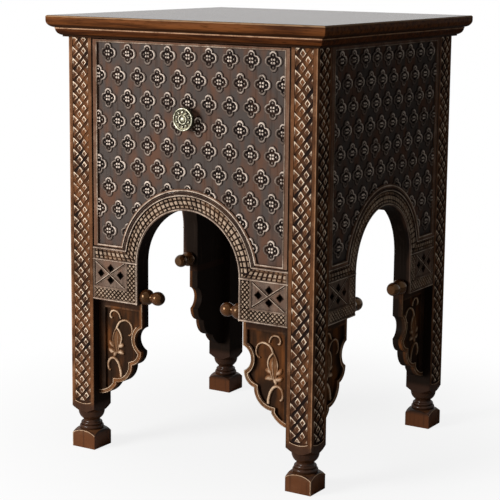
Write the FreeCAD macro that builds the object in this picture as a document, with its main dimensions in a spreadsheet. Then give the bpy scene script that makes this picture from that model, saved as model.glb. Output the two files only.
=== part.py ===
import FreeCAD, Part
import math
import operator
import os
import Sketcher
from dataclasses import dataclass
from types import SimpleNamespace
from FreeCAD import Placement, Rotation, Vector

# Carved bedside table: four turned posts, three arched sides, a plain back and one drawer.
# Millimetres, +Z up, origin on the floor under the middle of the table, front towards -Y.

# Driving dimensions: name, number and what it measures
DIMENSIONS = (
    ("table_height", 630, "floor to the upper face of the top"),
    ("top_width", 450, "top board, left to right"),
    ("top_depth", 450, "top board, front to back"),
    ("top_thick", 17, "top board"),
    ("top_edge_round", 10, "rounding under the edge of the top"),
    ("top_arris", 2.5, "rounding above the edge of the top"),
    ("top_overhang", 23, "top board beyond the posts"),
    ("post_size", 40, "square post"),
    ("cornice_high", 13, "moulding under the top"),
    ("cornice_out", 13.5, "moulding beyond the posts, at its head"),
    ("cornice_foot", 6, "moulding beyond the posts, at its foot"),
    ("cornice_fillet", 2, "flat bands above and below the hollow of the moulding"),
    ("cornice_bulge", 2.1, "roundness of the moulding over its chord"),
    ("foot_block_high", 18, "floor to the corner of the foot block"),
    ("foot_shoulder_rad", 18.5, "top of the rounded foot block"),
    ("foot_shoulder_high", 8.8, "rounded shoulder of the foot block"),
    ("foot_shoulder_bulge", 1.2, "roundness of that shoulder"),
    ("foot_bead_rad", 16.2, "large bead of the foot at its edges"),
    ("foot_bead_high", 5.8, "large bead of the foot"),
    ("foot_bead_bulge", 1.5, "roundness of the large bead"),
    ("foot_ring_rad", 14.6, "small bead of the foot at its edges"),
    ("foot_ring_high", 4.4, "small bead of the foot"),
    ("foot_ring_bulge", 1.1, "roundness of the small bead"),
    ("foot_neck_rad", 12.8, "neck of the foot"),
    ("foot_neck_high", 4.5, "neck of the foot"),
    ("foot_neck_hollow", 0.7, "hollow of the neck"),
    ("foot_cup_rad", 19.2, "cup above the neck, at its rim"),
    ("foot_cup_high", 12.5, "cup above the neck"),
    ("foot_cup_bulge", 1.8, "roundness of the cup"),
    ("foot_flare_high", 9, "slope from the cup out to the square post"),
    ("lattice_edge", 6, "edges of a post beside its carved strips"),
    ("lattice_deep", 1.5, "sunk ground of the carved strips"),
    ("lattice_lift", 8, "turned foot to the lower corners of the carved strips"),
    ("lattice_bow", 3, "round foot of the carved strips, over its chord"),
    ("frame_thick", 27, "arch frames and side panels"),
    ("panel_setback", 0.5, "panels behind the faces of the posts"),
    ("arch_radius", 84.5, "opening of each arch"),
    ("arch_spring", 285, "floor to the springing of the arch"),
    ("ring_width", 25.5, "carved ring round the arch"),
    ("block_high", 57.5, "impost blocks under the carved bands"),
    ("band_drop", 1, "springing to the underside of the carved bands"),
    ("band_high", 19.5, "carved bands beside the ring"),
    ("fillet_width", 3, "plain fillets between the carved areas"),
    ("carve_depth", 2.5, "sunk ground of the carved areas"),
    ("strip_width", 14.5, "hatched strips on the impost blocks"),
    ("diamond_half", 5.5, "pierced diamonds, middle to corner"),
    ("diamond_deep", 8, "pierced diamonds"),
    ("diamond_end_margin", 10, "diamonds from the ends of the crossed panel"),
    ("diamond_edge_margin", 9.9, "diamonds from the head and foot of the crossed panel"),
    ("lip_side", 9, "plain border at the sides of a flowered panel"),
    ("lip_top", 4, "plain border at its head"),
    ("lip_bottom", 5, "plain border at its foot"),
    ("lip_arch", 5, "plain border round the arch"),
    ("field_deep", 3, "flowered ground below the border"),
    ("flower_side", 18.6, "side of the ground to the middle of the outermost flowers"),
    ("flower_head", 14.2, "head of the ground to the first row of flowers"),
    ("flower_foot", 20.3, "foot of the ground to the last row of flowers"),
    ("flower_rim", 1.6, "rims of the flowers over their ground"),
    ("flower_rim_outer", 0.94, "outer side of a rim, as a share of the flower"),
    ("flower_rim_inner", 0.82, "inner side of a rim, as a share of the flower"),
    ("flower_notch_wide", 5.55, "middle of a flower to its notches, sideways"),
    ("flower_notch_high", 6.95, "middle of a flower to its notches, upwards"),
    ("flower_side_lobe", 7, "radius of the side lobes of a flower"),
    ("flower_end_lobe", 5.7, "radius of its upper and lower lobes"),
    ("tongue_inset", 14, "face of the posts to the tongues"),
    ("tongue_thick", 6, "tongues on panels, brackets and rails"),
    ("tongue_long", 8, "tongues on panels, brackets and rails"),
    ("joint_play", 0.15, "room round each tongue, spigot and dowel"),
    ("bracket_thick", 14.5, "scalloped bracket boards"),
    ("bracket_border_top", 13, "border of a bracket at its head"),
    ("bracket_border_post", 11, "border of a bracket beside the post"),
    ("bracket_border_edge", 6.5, "border of a bracket along the scallops, sideways"),
    ("bracket_border_low", 4.5, "border of a bracket along the scallops, upwards"),
    ("bracket_sunk", 4, "carved ground of a bracket"),
    ("bite_drop", 36.5, "underside of the blocks to the head of the round bite"),
    ("bite_hollow", 12, "round bite, over its chord"),
    ("bite_high", 35, "round bite, head to cusp"),
    ("cusp_inset", 2, "cusp behind the jamb"),
    ("upper_rise", 5, "upper scallop, over its chord"),
    ("upper_fall", 22, "upper scallop, cusp to foot"),
    ("upper_run", 18.5, "upper scallop, sideways"),
    ("middle_rise", 7, "middle scallop, over its chord"),
    ("scallop_step", 3, "short drops between the scallops"),
    ("middle_fall", 29, "middle scallop with its drop"),
    ("middle_run", 28, "middle scallop, sideways"),
    ("tail_fall", 21, "lowest scallop with its drop"),
    ("tail_run", 31, "lowest scallop, sideways"),
    ("tail_rise", 4.5, "lowest scallop, over its chord"),
    ("tongue_lift", 12, "tail of a bracket to the foot of its tongue"),
    ("mortise_margin", 10, "ends of a bracket to its upper tongue"),
    ("finial_lift", 10.2, "underside of the blocks to the axis of the finials"),
    ("finial_base_rad", 9, "base bead of a finial at the jamb"),
    ("finial_base_long", 16, "base bead of a finial"),
    ("finial_base_bulge", 4, "roundness of the base bead"),
    ("finial_neck_rad", 6, "neck of a finial and its end disc"),
    ("finial_neck_long", 1.5, "neck of a finial"),
    ("finial_end_long", 17, "end bead of a finial"),
    ("finial_end_bulge", 4, "roundness of the end bead"),
    ("spigot_rad", 4, "spigot of a finial"),
    ("spigot_long", 12, "spigot of a finial"),
    ("rail_deep", 40, "rail over the drawer"),
    ("back_thick", 22, "plain back panel"),
    ("back_bottom", 330, "floor to the underside of the back panel"),
    ("drawer_gap", 1.8, "drawer front to the posts, the rail and the arch frame"),
    ("drawer_front_thick", 20, "drawer front"),
    ("drawer_side_inset", 12, "drawer sides behind the faces of the posts' inner sides"),
    ("drawer_side_thick", 12, "drawer sides"),
    ("kicker_thick", 34, "strips over the drawer sides"),
    ("drawer_lift", 5, "drawer sides above the arch ring"),
    ("drawer_rear_gap", 31, "drawer to the back panel"),
    ("drawer_dado", 6, "drawer sides let into the drawer front"),
    ("drawer_back_thick", 12, "drawer back"),
    ("drawer_back_drop", 6, "drawer back below the drawer sides"),
    ("tail_slope", 2, "spread of each dovetail, on each side"),
    ("bottom_thick", 6, "drawer bottom"),
    ("bottom_groove", 5, "drawer bottom let into the sides and the front"),
    ("bottom_lift", 8, "drawer bottom above the foot of the drawer sides"),
    ("slide_gap", 0.4, "drawer sides above the runners and before the stops"),
    ("guide_gap", 1, "drawer sides to the guides and the kickers"),
    ("runner_thick", 14, "ledge of a runner"),
    ("guide_high", 16, "guide of a runner"),
    ("stop_long", 12, "drawer stops"),
    ("stop_high", 14, "drawer stops"),
    ("knob_drop", 103.7, "underside of the moulding to the axis of the knob"),
    ("knob_seat_deep", 0.4, "round seat of the knob below the flowered ground"),
    ("knob_rad", 16, "rosette of the knob"),
    ("knob_stand", 14.6, "seat to the rim of the knob"),
    ("knob_disc", 5, "rosette of the knob at its rim"),
    ("knob_dome", 1, "face of the rosette over its chord"),
    ("knob_stem_rad", 4.8, "stem of the knob"),
    ("knob_foot_rad", 6.5, "foot of the stem"),
    ("knob_foot_high", 3, "foot of the stem"),
    ("knob_button_rad", 3.2, "button in the middle of the rosette"),
    ("knob_petal_rad", 2.4, "round piercings of the rosette"),
    ("knob_petal_ring", 10, "middle of the rosette to its piercings"),
    ("screw_rad", 2, "shanks of the screws"),
    ("screw_head_rad", 4, "heads of the screws"),
    ("screw_head_high", 3, "heads of the screws"),
    ("knob_screw_deep", 9, "knob screw inside the stem"),
    ("top_screw_deep", 10, "top screws inside the top board"),
    ("top_screw_pitch", 110, "distance between the top screws"),
    ("dowel_rad", 5, "dowels between the posts and the top"),
    ("dowel_down", 16, "dowels inside the posts"),
    ("dowel_up", 10, "dowels inside the top"),
)

# Counts
TAIL_COUNT = 3
PETAL_COUNT = 10

# Flowers: steps from the middle to the outermost, steps from the first row to the last,
# and full rows of each kind
FLOWER_REACH = 4
FLOWER_ROWS = 8
FULL_ROWS = 3

# Whole flowers beside the arch: steps from the middle and rows below the first
ARCH_FLOWERS = ((3, 6), (4, 6), (3.5, 7), (4, 8))

# Turn of each side about the vertical axis, in degrees, from the front
SIDE_TURN = {"front": 0, "left": -90, "right": 90, "back": 180}

SIGNS = {"+": operator.add, "-": operator.sub, "*": operator.mul, "/": operator.truediv}


# Sizes that carry their number and the sheet formula behind it
class Size:
    """A length with its number and the sheet formula that gives it."""

    def __init__(self, number, formula):
        self.number = number
        self.formula = formula

    def __add__(self, other):
        return joined(self, "+", other)

    def __radd__(self, other):
        return joined(other, "+", self)

    def __sub__(self, other):
        return joined(self, "-", other)

    def __rsub__(self, other):
        return joined(other, "-", self)

    def __mul__(self, other):
        return joined(self, "*", other)

    def __rmul__(self, other):
        return joined(other, "*", self)

    def __truediv__(self, other):
        return joined(self, "/", other)

    def __neg__(self):
        return joined(0, "-", self)


def as_size(value):
    """Give a plain number the form of a Size."""
    if isinstance(value, Size):
        return value
    return Size(float(value), f"({value})")


def joined(left, sign, right):
    """Join two sizes with one sign, in number and in formula."""
    left = as_size(left)
    right = as_size(right)
    return Size(SIGNS[sign](left.number, right.number), f"({left.formula} {sign} {right.formula})")


def root(value):
    """Square root of a size."""
    return Size(math.sqrt(value.number), f"sqrt({value.formula})")


def bind(item, field, value):
    """Bind one property of a document object to a size."""
    item.setExpression(field, as_size(value).formula)


def make_sheet(document):
    """Write the driving dimensions to a sheet and return them by name."""
    sheet = document.addObject("Spreadsheet::Sheet", "Sizes")
    sizes = SimpleNamespace()
    for row, (name, number, meaning) in enumerate(DIMENSIONS, start=1):
        sheet.set(f"A{row}", meaning)
        sheet.set(f"B{row}", str(number))
        sheet.setAlias(f"B{row}", name)
        setattr(sizes, name, Size(float(number), f"Sizes.{name}"))
    document.recompute()
    return sizes


# Outlines of lines and arcs
@dataclass
class Corner:
    """A corner of an outline; turn is 0 for a straight way to it, 1 or -1 for an arc, left or right."""

    x: Size
    y: Size
    turn: int = 0
    radius: Size = None
    rise: Size = None
    wide: bool = False


def at(x, y):
    """A corner reached by a straight line."""
    return Corner(as_size(x), as_size(y))


def round_to(x, y, radius, turn):
    """A corner reached by an arc of a given radius."""
    return Corner(as_size(x), as_size(y), turn, radius=as_size(radius))


def lobe_to(x, y, radius, turn):
    """A corner reached by an arc of a given radius, longer than a half circle."""
    return Corner(as_size(x), as_size(y), turn, radius=as_size(radius), wide=True)


def bow_to(x, y, rise, turn):
    """A corner reached by an arc of a given rise over its chord."""
    return Corner(as_size(x), as_size(y), turn, rise=as_size(rise))


def arc_radius(before, corner):
    """Radius of the arc that arrives at a corner."""
    if corner.radius is not None:
        return corner.radius
    across = corner.x - before.x
    along = corner.y - before.y
    chord_square = across * across + along * along
    return (chord_square / 4 + corner.rise * corner.rise) / (corner.rise * 2)


def arc_between(start, end, radius, turn, wide):
    """The arc of a circle from start to end, shorter than a half circle, or longer when wide."""
    chord = end - start
    left = Vector(-chord.y, chord.x, 0) / chord.Length
    reach = math.sqrt(max(radius * radius - chord.Length * chord.Length / 4, 0))
    beside = -turn if wide else turn
    centre = (start + end) * 0.5 + left * (reach * beside)
    first, last = (start, end) if turn > 0 else (end, start)
    first_angle = math.atan2(first.y - centre.y, first.x - centre.x)
    last_angle = math.atan2(last.y - centre.y, last.x - centre.x)
    if last_angle < first_angle:
        last_angle += 2 * math.pi
    return Part.ArcOfCircle(Part.Circle(centre, Vector(0, 0, 1), radius), first_angle, last_angle)


def constrain(sketch, bound):
    """Add constraints to a sketch and bind each to its size."""
    first = sketch.ConstraintCount
    sketch.addConstraint([constraint for constraint, size_of in bound])
    for number, (constraint, size_of) in enumerate(bound, start=first):
        if size_of is not None:
            bind(sketch, f"Constraints[{number}]", size_of)


def draw(sketch, corners):
    """Draw one closed outline through corners, each bound to the sheet."""
    bound = []
    ends = []
    for index, corner in enumerate(corners):
        before = corners[index - 1]
        start = Vector(before.x.number, before.y.number, 0)
        end = Vector(corner.x.number, corner.y.number, 0)
        if corner.turn == 0:
            number = sketch.addGeometry(Part.LineSegment(start, end))
        else:
            radius = arc_radius(before, corner)
            arc = arc_between(start, end, radius.number, corner.turn, corner.wide)
            number = sketch.addGeometry(arc)
            bound.append((Sketcher.Constraint("Radius", number, radius.number), radius))
        ends.append((number, 2, 1) if corner.turn < 0 else (number, 1, 2))
    for index, corner in enumerate(corners):
        number, tail, tip = ends[index]
        following, next_tail, next_tip = ends[(index + 1) % len(ends)]
        bound.append((Sketcher.Constraint("Coincident", number, tip, following, next_tail), None))
        across = Sketcher.Constraint("DistanceX", -1, 1, number, tip, corner.x.number)
        along = Sketcher.Constraint("DistanceY", -1, 1, number, tip, corner.y.number)
        bound.append((across, corner.x))
        bound.append((along, corner.y))
    constrain(sketch, bound)


def draw_box(sketch, x_first, y_first, x_last, y_last):
    """Draw a rectangle between two opposite corners."""
    draw(sketch, [at(x_first, y_first), at(x_last, y_first), at(x_last, y_last), at(x_first, y_last)])


def draw_ring(sketch, x, y, radius):
    """Draw a full circle."""
    x = as_size(x)
    y = as_size(y)
    circle = Part.Circle(Vector(x.number, y.number, 0), Vector(0, 0, 1), radius.number)
    number = sketch.addGeometry(circle)
    bound = [
        (Sketcher.Constraint("Radius", number, radius.number), radius),
        (Sketcher.Constraint("DistanceX", -1, 1, number, 3, x.number), x),
        (Sketcher.Constraint("DistanceY", -1, 1, number, 3, y.number), y),
    ]
    constrain(sketch, bound)


# Bodies and their features
def new_body(name):
    """A body whose label names its file."""
    body = doc.addObject("PartDesign::Body", name)
    body.Label = name
    pieces.append(body)
    return body


def sketch_on(body, role, offset=0):
    """A sketch on one of a body's own planes, moved along the normal of that plane."""
    offset = as_size(offset)
    sketch = body.newObject("Sketcher::SketchObject", f"{body.Name}_sketch")
    origin_plane = next(item for item in body.Origin.OriginFeatures if item.Role == role)
    sketch.AttachmentSupport = [(origin_plane, "")]
    sketch.MapMode = "FlatFace"
    sketch.AttachmentOffset = Placement(Vector(0, 0, offset.number), Rotation())
    bind(sketch, "AttachmentOffset.Base.z", offset)
    return sketch


def extrude(body, kind, sketch, length, middle=False, reverse=False):
    """A pad or a pocket of a sketch."""
    length = as_size(length)
    feature = body.newObject(f"PartDesign::{kind}", f"{body.Name}_{kind.lower()}")
    feature.Profile = sketch
    feature.Length = length.number
    bind(feature, "Length", length)
    feature.Midplane = middle
    feature.Reversed = reverse
    return feature


def pad(body, sketch, length, middle=False):
    """Material along the normal of a sketch."""
    return extrude(body, "Pad", sketch, length, middle)


def pocket(body, sketch, depth, middle=False, reverse=False):
    """A cut against the normal of a sketch, or along it when reversed."""
    return extrude(body, "Pocket", sketch, depth, middle, reverse)


def turn_about(body, kind, sketch, axis):
    """A full revolution or groove of a sketch about one of its axes."""
    feature = body.newObject(f"PartDesign::{kind}", f"{body.Name}_{kind.lower()}")
    feature.Profile = sketch
    feature.ReferenceAxis = (sketch, [axis])
    feature.Angle = 360
    return feature


def move_to(item, x, y, z, turn=0):
    """Place a piece, its position bound to the sheet."""
    x = as_size(x)
    y = as_size(y)
    z = as_size(z)
    item.Placement = Placement(Vector(x.number, y.number, z.number), Rotation(Vector(0, 0, 1), turn))
    bind(item, "Placement.Base.x", x)
    bind(item, "Placement.Base.y", y)
    bind(item, "Placement.Base.z", z)


def group(name, members):
    """Several equal solids that share one node."""
    compound = doc.addObject("Part::Compound", name)
    compound.Label = name
    compound.Links = members
    pieces.append(compound)
    return compound


# Sizes worked out from the driving dimensions
def side_frame(side):
    """Distance from the middle to the face of a side, and half its width between the posts."""
    across, along = (body_depth, body_width)
    if side in ("left", "right"):
        across, along = along, across
    return across / 2, along / 2 - size.post_size


def ring_rise(radius, level):
    """Half the chord of an arch circle at a level above the floor."""
    above = level - size.arch_spring
    return root(radius * radius - above * above)


# The turned posts
def foot_profile():
    """Outline of the waste that the turning takes off the foot of a post."""
    clear = size.post_size * 3 / 4
    cup = turning_top - size.foot_flare_high
    neck = cup - size.foot_cup_high
    ring = neck - size.foot_neck_high
    bead = ring - size.foot_ring_high
    shoulder = bead - size.foot_bead_high
    return [
        at(clear, size.foot_block_high),
        bow_to(size.foot_shoulder_rad, shoulder, size.foot_shoulder_bulge, 1),
        at(size.foot_bead_rad, shoulder),
        bow_to(size.foot_bead_rad, bead, size.foot_bead_bulge, 1),
        at(size.foot_ring_rad, bead),
        bow_to(size.foot_ring_rad, ring, size.foot_ring_bulge, 1),
        at(size.foot_neck_rad, ring),
        bow_to(size.foot_neck_rad, neck, size.foot_neck_hollow, -1),
        bow_to(size.foot_cup_rad, cup, size.foot_cup_bulge, 1),
        at(clear, turning_top),
    ]


def cut_slot(body, along_x, side_x, side_y, low, high):
    """A slot for tongues in one inner face of a post, between two levels."""
    half = size.post_size / 2
    depth = size.tongue_long + size.joint_play
    near = half - size.tongue_inset + size.joint_play
    far = half - size.tongue_inset - size.tongue_thick - size.joint_play
    sketch = sketch_on(body, "XY_Plane", high)
    if along_x:
        draw_box(sketch, half * -side_x, near * side_y, (half - depth) * -side_x, far * side_y)
    else:
        draw_box(sketch, near * side_x, half * -side_y, far * side_x, (half - depth) * -side_y)
    pocket(body, sketch, high - low)


def cut_lattice(body, plane, face, reverse):
    """The sunk strip for the carved lattice on one outer face of a post."""
    half = size.post_size / 2 - size.lattice_edge
    foot = turning_top + size.lattice_lift
    sketch = sketch_on(body, plane, face)
    corners = [
        at(-half, cornice_bottom),
        at(-half, foot),
        bow_to(half, foot, size.lattice_bow, 1),
        at(half, cornice_bottom),
    ]
    draw(sketch, corners)
    pocket(body, sketch, size.lattice_deep, reverse=reverse)


def make_post(name, side_x, side_y):
    """A square post with a turned foot, slotted within and sunk for carving without."""
    body = new_body(name)
    half = size.post_size / 2
    square = sketch_on(body, "XY_Plane")
    draw_box(square, -half, -half, half, half)
    pad(body, square, post_top)
    waste = sketch_on(body, "XZ_Plane")
    draw(waste, foot_profile())
    turn_about(body, "Groove", waste, "V_Axis")
    slot_foot = tail_level + size.tongue_lift - size.joint_play
    cut_slot(body, False, side_x, side_y, slot_foot, post_top)
    if side_y < 0:
        cut_slot(body, True, side_x, side_y, slot_foot, band_top + size.joint_play)
        cut_slot(body, True, side_x, side_y, cornice_bottom - size.joint_play, post_top)
    else:
        cut_slot(body, True, side_x, side_y, size.back_bottom - size.joint_play, post_top)
    cut_lattice(body, "YZ_Plane", half * side_x, side_x < 0)
    if side_y < 0:
        cut_lattice(body, "XZ_Plane", half, False)
    socket = sketch_on(body, "XY_Plane", post_top)
    draw_ring(socket, 0, 0, size.dowel_rad + size.joint_play)
    pocket(body, socket, size.dowel_down + size.joint_play)
    move_to(body, post_x * side_x, post_y * side_y, 0)


# The arched sides
def ring_outline(half, foot, radius):
    """Corners from right to left over an arch ring that stands on a level."""
    reach = ring_rise(radius, foot)
    return [
        at(half, foot),
        at(reach, foot),
        round_to(0, size.arch_spring + radius, radius, 1),
        round_to(-reach, foot, radius, 1),
        at(-half, foot),
    ]


def add_tongues(body, face, half, low, high):
    """Tongues on both ends of a panel."""
    near = size.tongue_inset - face
    sketch = sketch_on(body, "XY_Plane", low)
    for side in (-1, 1):
        draw_box(sketch, half * side, near, (half + size.tongue_long) * side, near + size.tongue_thick)
    pad(body, sketch, high - low)


def carve_ring(body, front, half):
    """Sunk ground of the ring and its bands, between plain fillets."""
    inner = size.arch_radius + size.fillet_width
    outer = ring_radius - size.fillet_width
    foot = band_bottom + size.fillet_width
    head = band_top - size.fillet_width
    end = half - size.fillet_width
    reach = ring_rise(inner, foot)
    sketch = sketch_on(body, "XZ_Plane", front)
    corners = ring_outline(end, head, outer)
    corners += [
        at(-end, foot),
        at(-reach, foot),
        round_to(0, size.arch_spring + inner, inner, -1),
        round_to(reach, foot, inner, -1),
        at(end, foot),
    ]
    draw(sketch, corners)
    pocket(body, sketch, size.carve_depth)


def carve_block(body, front, half, side):
    """Hatched strips, crossed panel and pierced diamonds of one impost block."""
    near = size.arch_radius + size.fillet_width
    far = half - size.fillet_width
    low = block_bottom + size.fillet_width
    high = band_bottom
    strips = sketch_on(body, "XZ_Plane", front)
    corners = [
        at(near * side, low),
        at(far * side, low),
        at(far * side, low + size.strip_width),
        at((near + size.strip_width) * side, low + size.strip_width),
        at((near + size.strip_width) * side, high),
        at(near * side, high),
    ]
    draw(strips, corners)
    pocket(body, strips, size.carve_depth)
    panel_near = near + size.strip_width + size.fillet_width
    panel_low = low + size.strip_width + size.fillet_width
    crossed = sketch_on(body, "XZ_Plane", front)
    draw_box(crossed, panel_near * side, panel_low, far * side, high)
    pocket(body, crossed, size.carve_depth / 2)
    middle_x = (panel_near + far) / 2 * side
    middle_z = (panel_low + high) / 2
    out_x = (far - panel_near) / 2 - size.diamond_end_margin
    out_z = (high - panel_low) / 2 - size.diamond_edge_margin
    diamonds = sketch_on(body, "XZ_Plane", front)
    for across, along in ((-1, 0), (1, 0), (0, -1), (0, 1)):
        x = middle_x + out_x * across
        z = middle_z + out_z * along
        reach = size.diamond_half
        draw(diamonds, [at(x - reach, z), at(x, z - reach), at(x + reach, z), at(x, z + reach)])
    pocket(body, diamonds, size.diamond_deep)


def make_arch_frame(side):
    """Impost blocks, bands and carved ring of one side, in one board."""
    face, half = side_frame(side)
    front = face - size.panel_setback
    body = new_body(f"arch_frame_{side}")
    outline = sketch_on(body, "XZ_Plane", front - size.frame_thick)
    corners = ring_outline(half, band_top, ring_radius)
    corners += [
        at(-half, block_bottom),
        at(-size.arch_radius, block_bottom),
        at(-size.arch_radius, size.arch_spring),
        round_to(0, size.arch_spring + size.arch_radius, size.arch_radius, -1),
        round_to(size.arch_radius, size.arch_spring, size.arch_radius, -1),
        at(size.arch_radius, block_bottom),
        at(half, block_bottom),
    ]
    draw(outline, corners)
    pad(body, outline, size.frame_thick)
    add_tongues(body, face, half, block_bottom, band_top)
    carve_ring(body, front, half)
    mortise_top = block_bottom + size.tongue_long + size.joint_play
    mortises = sketch_on(body, "XY_Plane", mortise_top)
    play = size.joint_play
    near = size.tongue_inset - face
    for hand in (-1, 1):
        carve_block(body, front, half, hand)
        first = half - size.mortise_margin + play
        last = size.arch_radius + size.mortise_margin - play
        draw_box(mortises, first * hand, near - play, last * hand, near + size.tongue_thick + play)
    pocket(body, mortises, size.tongue_long + size.joint_play)
    holes = sketch_on(body, "YZ_Plane")
    draw_ring(holes, size.frame_thick / 2 - front, finial_level, size.spigot_rad + size.joint_play)
    hole_reach = size.arch_radius + size.spigot_long + size.joint_play
    pocket(body, holes, hole_reach * 2, middle=True)
    move_to(body, 0, 0, 0, SIDE_TURN[side])


def flowered_field(sketch, field_half, field_top):
    """Outline of the sunk ground of a flowered panel."""
    foot = band_top + size.lip_bottom
    corners = ring_outline(field_half, foot, ring_radius + size.lip_arch)
    corners += [at(-field_half, field_top), at(field_half, field_top)]
    draw(sketch, corners)


def draw_flower(sketch, x, y):
    """The rim of one flower of four lobes, between two outlines of the same form."""
    for share in (size.flower_rim_outer, size.flower_rim_inner):
        wide = size.flower_notch_wide * share
        high = size.flower_notch_high * share
        side_rad = size.flower_side_lobe * share
        end_rad = size.flower_end_lobe * share
        draw(sketch, [
            lobe_to(x + wide, y + high, side_rad, 1),
            lobe_to(x - wide, y + high, end_rad, 1),
            lobe_to(x - wide, y - high, side_rad, 1),
            lobe_to(x + wide, y - high, end_rad, 1),
        ])


def repeat_along(body, name, role, length, count):
    """A row of equal steps along one axis of a body."""
    row = body.newObject("PartDesign::LinearPattern", name)
    axis = next(item for item in body.Origin.OriginFeatures if item.Role == role)
    row.Direction = (axis, [""])
    row.Length = length.number
    bind(row, "Length", length)
    row.Occurrences = count
    return row


def raise_flowers(body, ground, field_half):
    """Rims of the whole flowers on the sunk ground, in staggered rows and beside the arch."""
    pitch = (field_half - size.flower_side) / FLOWER_REACH
    rise = flower_row * (2 * FULL_ROWS - 2)
    for shift in (0, 1):
        left = pitch * (shift / 2 - FLOWER_REACH)
        low = flower_top - flower_row * shift - rise
        sketch = sketch_on(body, "XZ_Plane", ground)
        draw_flower(sketch, left, low)
        rim = pad(body, sketch, size.flower_rim)
        doc.recompute()
        rows = body.newObject("PartDesign::MultiTransform", f"{body.Name}_flowers")
        rows.Originals = [rim]
        steps = 2 * FLOWER_REACH - shift
        across = repeat_along(body, f"{body.Name}_across", "X_Axis", pitch * steps, steps + 1)
        upward = repeat_along(body, f"{body.Name}_upward", "Z_Axis", rise, FULL_ROWS)
        rows.Transformations = [across, upward]
        body.Tip = rows
        doc.recompute()
    sketch = sketch_on(body, "XZ_Plane", ground)
    for column, row in ARCH_FLOWERS:
        draw_flower(sketch, pitch * column, flower_top - flower_row * row)
    rim = pad(body, sketch, size.flower_rim)
    doc.recompute()
    mirrored = body.newObject("PartDesign::Mirrored", f"{body.Name}_mirrored")
    mirrored.Originals = [rim]
    plane = next(item for item in body.Origin.OriginFeatures if item.Role == "YZ_Plane")
    mirrored.MirrorPlane = (plane, [""])
    body.Tip = mirrored
    doc.recompute()


def make_side_panel(side):
    """The fixed flowered panel over a side arch."""
    face, half = side_frame(side)
    front = face - size.panel_setback
    body = new_body(f"side_panel_{side}")
    outline = sketch_on(body, "XZ_Plane", front - size.frame_thick)
    draw(outline, ring_outline(half, band_top, ring_radius) + [at(-half, post_top), at(half, post_top)])
    pad(body, outline, size.frame_thick)
    add_tongues(body, face, half, band_top, post_top)
    field = sketch_on(body, "XZ_Plane", front)
    flowered_field(field, half - size.lip_side, field_top)
    pocket(body, field, size.field_deep)
    raise_flowers(body, front - size.field_deep, half - size.lip_side)
    move_to(body, 0, 0, 0, SIDE_TURN[side])


def make_back_panel():
    """The plain back, between the back posts."""
    face, half = side_frame("back")
    front = face - size.panel_setback
    body = new_body("back_panel")
    outline = sketch_on(body, "XZ_Plane", front - size.back_thick)
    draw_box(outline, -half, size.back_bottom, half, post_top)
    pad(body, outline, size.back_thick)
    add_tongues(body, face, half, size.back_bottom, post_top)
    move_to(body, 0, 0, 0, SIDE_TURN["back"])


def bracket_edge(half, hand, inset, lift):
    """Corners down the scalloped edge of a bracket, moved in from the jamb and up."""
    jamb = size.arch_radius + inset
    share = (half - size.arch_radius) / (size.upper_run + size.middle_run + size.tail_run)
    upper = jamb + size.upper_run * share
    middle = upper + size.middle_run * share
    cusp = jamb + size.cusp_inset
    drop = size.scallop_step
    return [
        at(jamb * hand, bite_top + lift),
        bow_to(cusp * hand, cusp_level + lift, size.bite_hollow, -hand),
        bow_to(upper * hand, upper_level + lift, size.upper_rise, hand),
        at(upper * hand, upper_level - drop + lift),
        bow_to(middle * hand, middle_level + lift, size.middle_rise, hand),
        at(middle * hand, middle_level - drop + lift),
        bow_to((half - inset) * hand, tail_level + lift, size.tail_rise, hand),
    ]


def make_bracket(name, side, hand):
    """A scalloped bracket board under an impost block, with a sunk ground inside its border."""
    face, half = side_frame(side)
    rear = face - size.panel_setback - size.frame_thick
    front = rear + size.bracket_thick
    head = block_bottom
    body = new_body(name)
    outline = sketch_on(body, "XZ_Plane", rear)
    corners = [at(half * hand, head), at(size.arch_radius * hand, head)]
    draw(outline, corners + bracket_edge(half, hand, 0, 0))
    pad(body, outline, size.bracket_thick)
    inset = size.bracket_border_edge
    low = size.bracket_border_low
    ground = sketch_on(body, "XZ_Plane", front)
    post_side = half - size.bracket_border_post
    ground_head = head - size.bracket_border_top
    edge = bracket_edge(half, hand, inset, low)
    tail = bow_to(post_side * hand, tail_level + size.bracket_border_post, size.tail_rise, hand)
    corners = [at(post_side * hand, ground_head), at((size.arch_radius + inset) * hand, ground_head)]
    draw(ground, corners + edge[:-1] + [tail])
    pocket(body, ground, size.bracket_sunk)
    near = size.tongue_inset - face
    side_tongue = sketch_on(body, "XY_Plane", tail_level + size.tongue_lift)
    far = near + size.tongue_thick
    draw_box(side_tongue, half * hand, near, (half + size.tongue_long) * hand, far)
    pad(body, side_tongue, head - tail_level - size.tongue_lift)
    top_tongue = sketch_on(body, "XY_Plane", head)
    first = half - size.mortise_margin
    last = size.arch_radius + size.mortise_margin
    draw_box(top_tongue, first * hand, near, last * hand, far)
    pad(body, top_tongue, size.tongue_long)
    move_to(body, 0, 0, 0, SIDE_TURN[side])


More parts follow.
